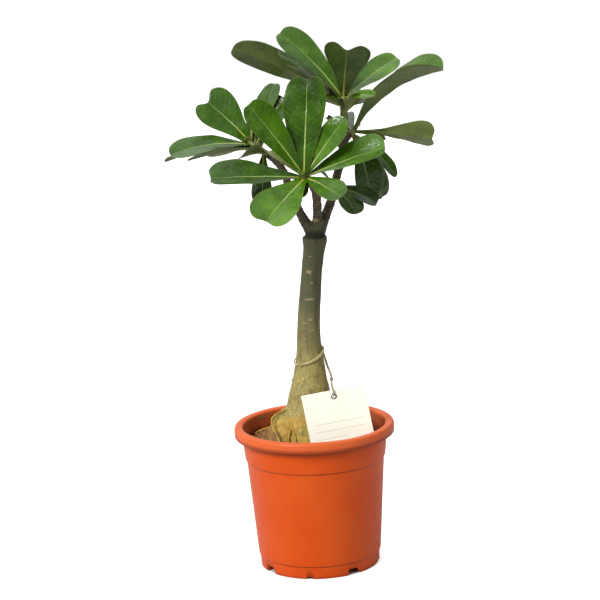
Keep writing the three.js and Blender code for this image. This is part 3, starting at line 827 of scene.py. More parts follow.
@dataclass(frozen=True)
class Route:
    """A smooth line through rows of (x, y, z, radius)."""

    rows: tuple[Row, ...]

    def sampled(self, step: float) -> tuple[np.ndarray, np.ndarray]:
        """Evenly spaced places along the line.

        Args:
            step: the distance between them.

        Returns:
            The places as rows of x, y, z, and the radius at each.
        """
        table = np.array(self.rows, float)
        ends = [2 * table[0] - table[1], *table, 2 * table[-1] - table[-2]]
        fine = []
        for before, start, end, after in zip(ends, ends[1:], ends[2:], ends[3:]):
            gaps = [
                max(np.linalg.norm(b[:3] - a[:3]), 1e-6) ** 0.5
                for a, b in ((before, start), (start, end), (end, after))
            ]
            leaving = (start - before) / gaps[0] - (end - before) / (gaps[0] + gaps[1])
            leaving = (leaving + (end - start) / gaps[1]) * gaps[1]
            arriving = (end - start) / gaps[1] - (after - start) / (gaps[1] + gaps[2])
            arriving = (arriving + (after - end) / gaps[2]) * gaps[1]
            for t in np.linspace(0, 1, 24, endpoint=False):
                square, cube = t * t, t * t * t
                fine.append(
                    start * (2 * cube - 3 * square + 1)
                    + leaving * (cube - 2 * square + t)
                    + end * (3 * square - 2 * cube)
                    + arriving * (cube - square)
                )
        fine.append(table[-1])
        line = np.array(fine)
        gone = np.concatenate([[0], np.cumsum(np.linalg.norm(np.diff(line[:, :3], axis=0), axis=1))])
        count = max(int(round(gone[-1] / step)), 2)
        stops = np.linspace(0, gone[-1], count + 1)
        even = np.stack([np.interp(stops, gone, line[:, k]) for k in range(line.shape[1])], axis=1)
        return even[:, :3], even[:, 3] if line.shape[1] > 3 else np.ones(len(even))


def turning_frames(centres: np.ndarray) -> list[Matrix]:
    """Frames along a line that turn with it and don't twist.

    Args:
        centres: places along the line.

    Returns:
        A matrix for each place, with its Z along the line, in metres.
    """
    points = [Vector(c) * MM for c in centres]
    tangents = []
    for k in range(len(points)):
        ahead = points[min(k + 1, len(points) - 1)]
        tangents.append((ahead - points[max(k - 1, 0)]).normalized())
    turn = Vector((0, 0, 1)).rotation_difference(tangents[0]).to_matrix()
    frames = []
    for k, point in enumerate(points):
        if k:
            turn = tangents[k - 1].rotation_difference(tangents[k]).to_matrix() @ turn
        frames.append(Matrix.Translation(point) @ turn.to_4x4())
    return frames


def swept_tube(
    bm: BMesh,
    centres: np.ndarray,
    radii: Sequence[float],
    sides: int,
    ends: tuple[End, End] = (End.ROUND, End.ROUND),
) -> list[list[BMVert]]:
    """A closed tube, drawn out ring by ring along a line.

    Args:
        bm: the mesh that it is added to.
        centres: places along the line.
        radii: the tube's radius at each.
        sides: how many sides a ring has.
        ends: how its start and its end are closed.

    Returns:
        Its rings of vertices, from start to end.
    """
    places = turning_frames(centres)
    scales = [radius * MM for radius in radii]
    placed = [place @ Matrix.Scale(scale, 4) for place, scale in zip(places, scales)]
    for flip, last in ((-1, 0), (1, -1)):
        if ends[last] is End.ROUND:
            place, scale = places[last], scales[last]
            dome = [
                place @ Matrix.Translation((0, 0, flip * scale * lift)) @ Matrix.Scale(scale * size, 4)
                for lift, size in ((0.45, 0.85), (0.72, 0.5), (0.8, 0.18))
            ]
            placed = dome[::-1] + placed if last == 0 else placed + dome
    ring = bmesh.ops.create_circle(bm, segments=sides, radius=1.0, matrix=placed[0])["verts"]
    edges = list({edge for vert in ring for edge in vert.link_edges})
    bmesh.ops.contextual_create(bm, geom=edges)
    rings = [ring]
    for before, after in zip(placed, placed[1:]):
        drawn = bmesh.ops.extrude_edge_only(bm, edges=edges)["geom"]
        ring = only(BMVert, drawn)
        edges = only(BMEdge, drawn)
        bmesh.ops.transform(bm, matrix=after @ before.inverted(), verts=ring)
        rings.append(ring)
    bmesh.ops.contextual_create(bm, geom=edges)
    return rings


def spun(
    bm: BMesh, rows: Sequence[Row], steps: int, layer: object = None, values: Sequence[float] = ()
) -> None:
    """A closed body, turned round the Z axis from a section that starts and ends on it.

    Args:
        bm: the mesh that it is made in.
        rows: the section's radius and height.
        steps: how many parts the turn has.
        layer: a number that each vertex carries, if any.
        values: that number for each row.
    """
    verts = [bm.verts.new((radius * MM, 0, height * MM)) for radius, height in rows]
    for vert, value in zip(verts, values):
        vert[layer] = value
    edges = [bm.edges.new(pair) for pair in zip(verts, verts[1:])]
    bmesh.ops.spin(
        bm, geom=verts + edges, cent=(0, 0, 0), axis=(0, 0, 1), angle=FULL_TURN, steps=steps, use_merge=True
    )
    bmesh.ops.remove_doubles(bm, verts=bm.verts[:], dist=0.002 * MM)
    bmesh.ops.recalc_face_normals(bm, faces=bm.faces[:])


def only(kind: type, parts: Iterable[object]) -> list:
    """Those parts of an operator's result that are of one kind."""
    return [part for part in parts if isinstance(part, kind)]


def joined(bm: BMesh, other: BMesh) -> None:
    """Adds one mesh to another that carries the same numbers, and frees it.

    Args:
        bm: the mesh that grows.
        other: what is added to it.
    """
    mesh = bpy.data.meshes.new("part")
    other.to_mesh(mesh)
    other.free()
    bm.from_mesh(mesh)
    bpy.data.meshes.remove(mesh)


def object_of(bm: BMesh, name: str, sharp_above: float = 40.0) -> Object:
    """Makes an object of a mesh, with smooth faces and its sharp edges kept.

    Args:
        bm: the mesh, which is freed.
        name: the object's name.
        sharp_above: the angle past which an edge is sharp, in degrees.

    Returns:
        The object, in the scene.
    """
    limit = math.radians(sharp_above)
    for face in bm.faces:
        face.smooth = True
    for edge in bm.edges:
        edge.smooth = len(edge.link_faces) == 2 and edge.calc_face_angle(0.0) < limit
    mesh = bpy.data.meshes.new(name)
    bm.to_mesh(mesh)
    bm.free()
    thing = bpy.data.objects.new(name, mesh)
    bpy.context.scene.collection.objects.link(thing)
    return thing


def applied(thing: Object) -> Mesh:
    """The mesh of an object after its modifiers, which are taken off it.

    Args:
        thing: the object.

    Returns:
        Its new mesh.
    """
    bpy.context.view_layer.update()
    shaped = thing.evaluated_get(bpy.context.evaluated_depsgraph_get())
    mesh = bpy.data.meshes.new_from_object(shaped)
    thing.modifiers.clear()
    thing.data = mesh
    return mesh


def cut_away(thing: Object, cutter: BMesh) -> None:
    """Cuts one mesh out of an object.

    Args:
        thing: what is cut.
        cutter: the mesh that is taken away, which is freed.
    """
    tool = object_of(cutter, thing.name + "_cutter")
    cut = thing.modifiers.new("cut", "BOOLEAN")
    cut.operation = "DIFFERENCE"
    cut.solver = "EXACT"
    cut.object = tool
    applied(thing)
    bpy.data.objects.remove(tool)


@dataclass
class Workshop:
    """Finishes pieces: gives each its material and slot and seats it on the frame."""

    effects: Effects = field(default_factory=Effects)
    finishes: dict[Slot, Material] = field(default_factory=dict)

    def __post_init__(self) -> None:
        """Makes every finish once."""
        recipes = {
            Slot.POT: PotPlastic("pot_plastic", specular=0.2),
            Slot.SOIL: PottingSoil("potting_soil", specular=0.2),
            Slot.BARK: Bark("bark", specular=0.35),
            Slot.FOLIAGE: Foliage("foliage", specular=0.46),
            Slot.CARD: CardStock("card", specular=0.3),
            Slot.METAL: EyeletMetal("eyelet_metal"),
            Slot.TWINE: TwineFibre("twine", specular=0.15, sheen=0.2),
        }
        for slot, recipe in recipes.items():
            self.finishes[slot] = recipe.material(self.effects)

    def finish(self, thing: Object, slot: Slot, nodes: Iterable[str] = ()) -> Object:
        """Dresses a piece and seats it.

        Args:
            thing: the piece, in its place.
            slot: the material slot that it takes its finish from.
            nodes: the CAD nodes that it stands for.

        Returns:
            The same piece.
        """
        thing.data.materials.clear()
        thing.data.materials.append(self.finishes[slot])
        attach(thing, BODY)
        if nodes:
            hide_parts(*nodes)
        log.info("%s: %d faces, finish %s", thing.name, len(thing.data.polygons), slot.value)
        return thing


# ---- Studio ----


@dataclass
class Studio:
    """The camera where the photographer stood, a plain pale floor with a painted contact shadow under the
    pot, and soft light.
    """

    stand: Row = (0.0, -2.0, 0.685)
    yaw: float = -0.22
    pitch: float = 12.1
    roll: float = -2.77
    lens: float = 130.8
    floor_size: float = 4.0
    floor_paint: Paint = (200, 200, 198)
    floor_clouds: Paint = (206, 206, 205)
    floor_glow: float = 0.72
    overhead: float = 0.88
    backdrop: float = 0.62
    front: float = 0.12
    key_from: Row = (-0.5, -0.6, 0.64)
    key_power: float = 2.75
    right_share: float = 0.45
    key_spread: float = 24.0

    def place_camera(self) -> None:
        """Makes the scene's camera."""
        yaw, pitch, roll = (math.radians(angle) for angle in (self.yaw, self.pitch, self.roll))
        ahead = Vector((math.sin(yaw) * math.cos(pitch), math.cos(yaw) * math.cos(pitch), -math.sin(pitch)))
        right = ahead.cross(Vector((0, 0, 1))).normalized()
        above = right.cross(ahead)
        right, above = (
            right * math.cos(roll) + above * math.sin(roll),
            above * math.cos(roll) - right * math.sin(roll),
        )
        data = bpy.data.cameras.new("camera")
        data.lens = self.lens
        data.sensor_width = 36.0
        data.clip_start = 0.05
        data.clip_end = 50.0
        camera = bpy.data.objects.new("camera", data)
        turn = Matrix((right, above, -ahead)).transposed()
        camera.matrix_world = Matrix.Translation(self.stand) @ turn.to_4x4()
        bpy.context.scene.collection.objects.link(camera)
        bpy.context.scene.camera = camera
        bpy.context.scene.view_settings.view_transform = "Standard"
        log.info("camera: %.1f mm lens", self.lens)

    def lay_floor(self) -> None:
        """Makes the floor, which isn't part of the object. For the camera it glows evenly, except in a disc
        under the pot, which is left dark as a painted contact shadow.
        """
        bm = bmesh.new()
        bmesh.ops.create_grid(bm, x_segments=2, y_segments=2, size=self.floor_size)
        floor = object_of(bm, "floor")
        material, bench, shader = Finish("floor", specular=0.1).start()
        clouds = bench.noise(bench.millimetres(), 0.004, 2.0)
        pale = bench.mix(clouds, self.floor_paint, self.floor_clouds)
        bench.feed(shader.inputs["Base Color"], pale)
        shader.inputs["Roughness"].default_value = 0.9
        seen = bench.add("ShaderNodeLightPath").outputs["Is Camera Ray"]
        shader.inputs["Emission Color"].default_value = (1.0, 1.0, 1.0, 1.0)
        # Painted contact shadow: no glow within 52 mm of the pot's axis, rising to full glow at 60 mm.
        away = bench.vectors("LENGTH", bench.millimetres())
        glow = bench.ease(away, 52.0, 60.0, 0.0, self.floor_glow)
        bench.feed(shader.inputs["Emission Strength"], bench.times(seen, glow))
        floor.data.materials.append(material)

    def light(self) -> None:
        """Makes white surroundings, brighter above and behind, and a broad soft key from the left."""
        world = bpy.data.worlds.new("studio")
        bpy.context.scene.world = world
        world.use_nodes = True
        bench = Bench(world.node_tree)
        way = bench.add("ShaderNodeSeparateXYZ", {0: bench.add("ShaderNodeTexCoord").outputs["Generated"]})
        above = bench.ease(way.outputs["Z"], 0.25, 0.85, 0.0, self.overhead)
        behind = bench.ease(way.outputs["Y"], -0.2, 0.6, self.front, self.backdrop)
        seen = bench.add("ShaderNodeLightPath").outputs["Is Camera Ray"]
        backdrop = world.node_tree.nodes["Background"]
        backdrop.inputs["Color"].default_value = (1.0, 1.0, 1.0, 1.0)
        dimmer = bench.ease(way.outputs["X"], 0.0, 0.9, 1.0, self.right_share)
        strength = bench.maths("MAXIMUM", bench.times(bench.plus(above, behind), dimmer), seen)
        bench.feed(backdrop.inputs["Strength"], strength)
        data = bpy.data.lights.new("key", "SUN")
        data.energy = self.key_power
        data.angle = math.radians(self.key_spread)
        key = bpy.data.objects.new("key", data)
        way_down = -Vector(self.key_from)
        key.matrix_world = way_down.to_track_quat("-Z", "Y").to_matrix().to_4x4()
        bpy.context.scene.collection.objects.link(key)
        log.info("lights: soft key at %.1f, overhead at %.2f", self.key_power, self.overhead)


# ---- Limbs, which the trunk, the shoots and the twine share ----

STEM = Route((
    (-11, -7, 66, 14), (-12, -8, 88, 31), (-12, -8, 106, 37), (-10.5, -8, 122, 36.5),
    (-8, -7, 138, 29.5), (-4.6, -5.4, 149, 22.4), (-3.4, -4.4, 157, 20.8), (-2.2, -3, 170, 19),
    (-1.8, -2, 181, 16.2), (-1.2, -1, 193, 14.2), (-1, 0, 206, 12.4), (-1.2, 0, 219, 11.3),
    (0.2, 0, 243, 10.5), (2.4, 0, 263, 10.1), (5, 0, 286, 9.8), (8, 0, 306, 10.4),
    (8.7, 0, 313, 11.6), (8.8, 0, 316.5, 11.4),
))
SCION_COLLAR = Route(((8.8, 0, 313, 9.6), (9.4, 0, 320, 9), (10.4, 0, 327, 8.4)))
NUB = Route(((-14, -6, 182, 3.4), (-17.5, -7, 181, 2.6), (-18.8, -7.2, 180.6, 1.4)))
BUTTRESSES = tuple(
    Route(rows)
    for rows in (
        ((-15, -11, 147, 11.5), (-26, -20, 136, 15.5), (-34, -28, 118, 14), (-36, -30, 104, 9)),
        ((-6, -10, 147, 12), (-4, -24, 134, 15), (-2, -32, 118, 14), (-2, -34, 104, 9)),
        ((0, -4, 147, 12), (12, -8, 134, 15), (22, -10, 118, 14), (25, -10, 104, 9)),
        ((-6, 4, 147, 12), (2, 14, 134, 15), (8, 24, 118, 14), (10, 27, 104, 9)),
        ((-12, 2, 147, 12), (-20, 12, 134, 13.5), (-27, 19, 118, 13), (-30, 21, 104, 9)),
    )
)
SURFACE_ROOTS = tuple(
    Route(rows)
    for rows in (
        (
            (-20, -12, 154, 1.7), (-29, -18, 153.5, 1.6), (-36, -24, 152, 1.5), (-39.5, -30, 149.5, 1.4),
            (-38, -37, 144, 1.3), (-34.5, -43, 137, 1.2), (-32, -48, 130, 1.1), (-30, -51, 117, 0.9),
        ),
        (
            (-21.5, -25, 147, 1.4), (-22, -33, 142.5, 1.3), (-23.5, -38, 137, 1.2), (-25, -43, 130, 1.1),
            (-26, -48, 117, 0.9),
        ),
        (
            (-21.5, -25, 147, 1.3), (-20.5, -33, 142.5, 1.2), (-19, -39, 136.5, 1.1),
            (-17.5, -44, 130, 1.1), (-15, -49, 117, 0.9),
        ),
        ((-30, 14, 132, 1.4), (-40, 17, 130, 1.3), (-49, 22, 126.4, 1.2), (-57, 27, 121.4, 1)),
    )
)
LEFT_BRANCH = Route((
    (8, 0, 318, 7), (1, -2, 330, 5), (-6.3, -4, 345.4, 4.2), (-12, -5, 361.8, 3.9), (-18, -5, 381, 3.7),
    (-24, -5, 390, 3.5), (-31, -5, 395.5, 3.3),
))
MIDDLE_BRANCH = Route((
    (11, -1, 318, 6.5), (12, -4, 332, 4.6), (12.4, -10, 347, 4.2), (11.6, -21, 361, 4),
    (8, -33, 371, 3.8), (4.5, -40, 376, 3.6),
))
RIGHT_BRANCH = Route((
    (12, 1, 318, 6.5), (20, 4, 335, 4.8), (26.5, 6, 350, 4.3), (32.5, 8, 372, 4.1), (38, 10, 390, 4.3),
    (41, 12, 405, 4), (41.3, 14, 421, 3.8),
))
LOW_RIGHT_SPUR = Route(((27.6, 6, 354, 3.4), (28.4, 1.5, 357.5, 3.2), (29, -2, 360.5, 2.9)))
RIGHT_SPUR = Route(((40.4, 12, 402, 3.4), (43, 14, 404.5, 3.1), (46, 16.5, 407, 2.8)))
CUT_STUBS = (
    Route(((38, 10, 396, 3), (35.5, 7.5, 401.5, 2.6), (34.4, 6.4, 403.5, 2.2))),
    Route(((40, 11, 412, 3), (33, 8, 421, 2.7), (26, 5.5, 427, 2.4))),
)


def stem_at(height: float) -> Row:
    """The stem's centre and radius at a height.

    Args:
        height: above the table.

    Returns:
        x, y, z and radius.
    """
    rows = STEM.rows
    above = next(k for k, row in enumerate(rows) if row[2] > height)
    low, high = rows[above - 1], rows[above]
    part = (height - low[2]) / (high[2] - low[2])
    return tuple(a + (b - a) * part for a, b in zip(low, high))


# ---- Twine ----


@dataclass
class Twine:
    """Two-ply twine: a tied wrap round the stem and the strand that the tag hangs from."""

    shop: Workshop
    diameter: float = 1.6
    ply_share: float = 0.56
    pitch: float = 4.2
    step: float = 0.55
    sides: int = 7
    wrap_height: float = 203.0
    wrap_radius: float = 14.0
    tilt_x: float = 0.42
    tilt_y: float = 0.22
    clear: float = 0.3
    strand: Route = Route((
        (11, 8.2, 207.6), (11.6, 8.3, 204.2), (12.3, 7.5, 200.3), (13.4, 5, 196), (14.5, 1.5, 191.9),
        (16, -4.5, 188.6), (17.7, -12, 185.4), (18.2, -17.8, 182.6), (18.9, -24, 178), (19.5, -26.8, 174.4),
        (19.7, -28.5, 171.4), (19.9, -28.4, 169.4), (19.5, -26.4, 168.3),
    ))
    companion: Route = Route((
        (11.6, 8.6, 205.6), (12.6, 8.2, 201.4), (13.9, 5.2, 197.2), (15.3, 1.2, 193), (17, -4.9, 189.4),
        (18.5, -12.2, 186), (18.9, -17.6, 183.2),
    ))
    return_strand: Route = Route((
        (18.2, -17.6, 182.4), (18, -18.4, 179.5), (18.2, -19.8, 176), (18.8, -21.6, 172.5),
        (19.3, -23.4, 169.6), (19.5, -25.2, 168.2), (19.6, -26.6, 168.1),
    ))
    strand_knot: Row = (18.2, -17.7, 182.7)
    wrap_knot_turn: float = 236.0

    def twisted(self, bm: BMesh, centres: np.ndarray, diameter: float | None = None) -> None:
        """Lays two plies round each other along a line.

        Args:
            bm: the mesh that they are added to.
            centres: places along the line.
            diameter: the twine's, or a thinner end's.
        """
        layers = [bm.verts.layers.float[name] for name in TWINE_NUMBERS]
        girth = (diameter or self.diameter) / 2
        ply = girth * self.ply_share
        frames = turning_frames(centres)
        gone = np.concatenate([[0], np.cumsum(np.linalg.norm(np.diff(centres, axis=0), axis=1))])
        for side in (0.0, math.pi):
            line = []
            for place, far in zip(frames, gone):
                turn = FULL_TURN * far / self.pitch + side
                offset = Vector((math.cos(turn), math.sin(turn), 0)) * (girth - ply) * MM
                line.append(np.array(place @ offset) / MM)
            rings = swept_tube(bm, np.array(line), [ply] * len(line), self.sides)
            domes = (len(rings) - len(line)) // 2
            for k, ring in enumerate(rings):
                run = gone[min(max(k - domes, 0), len(gone) - 1)]
                for j, vert in enumerate(ring):
                    around = FULL_TURN * j / self.sides + FULL_TURN * run / self.pitch + side
                    vert[layers[0]], vert[layers[1]] = math.cos(around), math.sin(around)
                    vert[layers[2]] = run

    def start(self) -> BMesh:
        """An empty mesh with the twine's own numbers.

        Returns:
            The mesh.
        """
        bm = bmesh.new()
        for name in TWINE_NUMBERS:
            bm.verts.layers.float.new(name)
        return bm

    def wrap_place(self, turn: float, lower: float = 0.0, proud: float = 0.0) -> Vector:
        """A place on the wrap.

        Args:
            turn: how far round the stem, in degrees from +X.
            lower: how far below the first loop.
            proud: how far outside it.

        Returns:
            The place.
        """
        x = self.wrap_radius * math.cos(math.radians(turn))
        y = self.wrap_radius * math.sin(math.radians(turn))
        rise = self.wrap_height + self.tilt_x * x + self.tilt_y * y - lower
        stem = stem_at(rise)
        out = (stem[3] + self.diameter / 2 + self.clear + proud) / self.wrap_radius
        return Vector((stem[0] + x * out, stem[1] + y * out, rise))

    def knot(self, bm: BMesh, centre: Vector, axis: Vector, size: float, turns: float) -> None:
        """A small knot: the twine's end drawn round itself.

        Args:
            bm: the mesh that it is added to.
            centre: where it sits.
            axis: the direction of the twine that it is tied round.
            size: the radius of its coils.
            turns: how often it goes round.
        """
        turn = Vector((0, 0, 1)).rotation_difference(axis.normalized()).to_matrix()
        line = []
        for t in np.linspace(0, 1, int(turns * 16)):
            angle = FULL_TURN * turns * t
            bulge = size * (0.85 + 0.25 * math.sin(math.pi * t))
            local = Vector((math.cos(angle) * bulge, math.sin(angle) * bulge, (t - 0.5) * size * 1.9))
            line.append(np.array(centre + turn @ local))
        self.twisted(bm, np.array(line), self.diameter * 0.8)

    def hang_strand(self) -> None:
        """The free strand, from the wrap to the tag's eyelet: a cord that hangs between them."""
        centres, _ = self.strand.sampled(self.step)
        bm = self.start()
        self.twisted(bm, centres)
        strand = self.shop.finish(object_of(bm, "tag_strand", 80.0), Slot.TWINE, ["twine_strand"])
        bm = self.start()
        self.twisted(bm, self.companion.sampled(self.step)[0], self.diameter * 0.8)
        self.twisted(bm, self.return_strand.sampled(self.step)[0], self.diameter * 0.9)
        back = self.shop.finish(object_of(bm, "tag_strand_return", 80.0), Slot.TWINE)
        bm = self.start()
        self.knot(bm, Vector(self.strand_knot), Vector((0.1, -0.5, -0.85)), 1.15, 2.2)
        knot = self.shop.finish(object_of(bm, "tag_strand_knot", 80.0), Slot.TWINE)

    def tie_wrap(self) -> None:
        """The wrap: one loop round the stem, a second beside it at the front, and the knot."""
        bm = self.start()
        loop = [self.wrap_place(turn) for turn in np.linspace(-124, 236, 150)]
        self.twisted(bm, np.array([list(place) for place in loop]))
        second, first, last = [], 232, 392
        for turn in np.linspace(first, last, 84):
            spread = math.sin(math.radians((turn - first) * 180 / (last - first)))
            second.append(list(self.wrap_place(turn, lower=1.45 * spread, proud=0.25 * spread)))
        self.twisted(bm, np.array(second))
        heart = self.wrap_place(self.wrap_knot_turn, proud=0.6)
        along = self.wrap_place(self.wrap_knot_turn + 8) - self.wrap_place(self.wrap_knot_turn - 8)
        self.knot(bm, heart, along, 1.2, 2.4)
        for lean, reach in ((Vector((-0.5, -0.45, 0.75)), 5.5), (Vector((0.75, -0.5, 0.62)), 6.5)):
            way = lean.normalized()
            curl = [
                list(heart + way * reach * t + Vector((0, -0.5, -2.4)) * t * t) for t in np.linspace(0, 1, 12)
            ]
            self.twisted(bm, np.array(curl), self.diameter * 0.8)
        self.shop.finish(object_of(bm, "stem_wrap", 80.0), Slot.TWINE, ["twine_wrap"])


# ---- Pot and soil ----


@dataclass
class Pot:
    """The moulded nursery pot: rolled rim, stacking ledge, foot band, notches and drain holes."""

    shop: Workshop
    outside: tuple[Row, ...] = (
        (0, 0), (30, 0), (33, 5.5), (52.4, 5.5), (53.4, 0), (56.6, 0), (57.4, 11.9), (58.4, 12.4),
        (65.4, 104.4), (66.6, 105), (69, 127), (69.4, 135.4), (74.4, 134.8), (74.4, 127.4), (75.6, 127),
        (76, 128), (76, 134.6), (75.2, 136.3), (73.8, 137),
    )
    inside: tuple[Row, ...] = (
        (69.8, 137), (68, 136.2), (67.4, 134.6), (67.3, 133.4), (65, 105), (63.8, 102), (56.8, 12.4),
        (52.4, 7.1), (32.2, 7.1), (29.2, 1.6), (0, 1.6),
    )
    lip_rows: int = 3
    steps: int = 128
    edge_round: float = 0.55
    notches: tuple[Row, ...] = ((15, 6.4, 5, 34.5), (7, 2.4, 1, -10.5))
    notch_lean: float = 0.5
    notch_span: Row = (50.0, 60.0)
    hole_radius: float = 4.0
    hole_ring: float = 43.0
    hole_count: int = 8
    hole_first: float = 11.25

    def build(self) -> None:
        """Turns the pot, rounds its edges, cuts its foot and its floor, and dresses it."""
        bm = bmesh.new()
        layer = bm.verts.layers.float.new("inside")
        values = [0.0] * (len(self.outside) + self.lip_rows) + [1.0] * (len(self.inside) - self.lip_rows)
        spun(bm, [*self.outside, *self.inside], self.steps, layer, values)
        rims = [edge for edge in bm.edges if self._is_rim(edge)]
        bmesh.ops.bevel(
            bm, geom=rims, offset=self.edge_round * MM, segments=2, profile=0.5, affect="EDGES",
            material=-1, clamp_overlap=True,
        )
        pot = object_of(bm, "nursery_pot", 35.0)
        cut_away(pot, self._cutters())
        self.shop.finish(pot, Slot.POT, ["pot"])

    def _is_rim(self, edge: BMEdge) -> bool:
        """Tells the edges that run round the pot at a corner of its section.

        Args:
            edge: one of the mesh's edges.

        Returns:
            Whether it is one.
        """
        first, second = (vert.co for vert in edge.verts)
        level = abs(first.z - second.z) < 0.01 * MM
        same = abs(first.xy.length - second.xy.length) < 0.01 * MM
        return level and same and edge.calc_face_angle(0.0) > math.radians(14)

    def _cutters(self) -> BMesh:
        """All that is cut away: notches through the foot and drain holes through the floor.

        Returns:
            The blocks and rods, as one mesh.
        """
        cutter = bmesh.new()
        for width, height, slant, bearing in self.notches:
            for quarter in range(4):
                self._notch(cutter, width, height, slant, bearing + 90 * quarter)
        for k in range(self.hole_count):
            angle = math.radians(self.hole_first + 360 * k / self.hole_count)
            place = Vector((math.cos(angle) * self.hole_ring, math.sin(angle) * self.hole_ring, 5.5)) * MM
            bmesh.ops.create_cone(
                cutter, cap_ends=True, segments=32, radius1=self.hole_radius * MM,
                radius2=self.hole_radius * MM, depth=11 * MM, matrix=Matrix.Translation(place),
            )
        return cutter

    def _notch(self, cutter: BMesh, width: float, height: float, slant: float, bearing: float) -> None:
        """Adds one notch's block.

        Args:
            cutter: the mesh that it is added to.
            width: at the table.
            height: above the table.
            slant: how far its right side leans in.
            bearing: the way that it faces, in degrees from the front.
        """
        half, near, far = width / 2, -self.notch_span[0], -self.notch_span[1]
        outline = ((-half, -1), (half, -1), (half - slant, height), (-half + self.notch_lean, height))
        corners = [cutter.verts.new(Vector((x, near, z)) * MM) for x, z in outline]
        face = cutter.faces.new(corners)
        drawn = bmesh.ops.extrude_face_region(cutter, geom=[face])["geom"]
        far_corners = only(BMVert, drawn)
        bmesh.ops.translate(cutter, vec=Vector((0, far - near, 0)) * MM, verts=far_corners)
        block = corners + far_corners
        turn = Matrix.Rotation(math.radians(bearing), 3, "Z")
        bmesh.ops.rotate(cutter, cent=(0, 0, 0), matrix=turn, verts=block)
        faces = list({face for vert in block for face in vert.link_faces})
        bmesh.ops.recalc_face_normals(cutter, faces=faces)


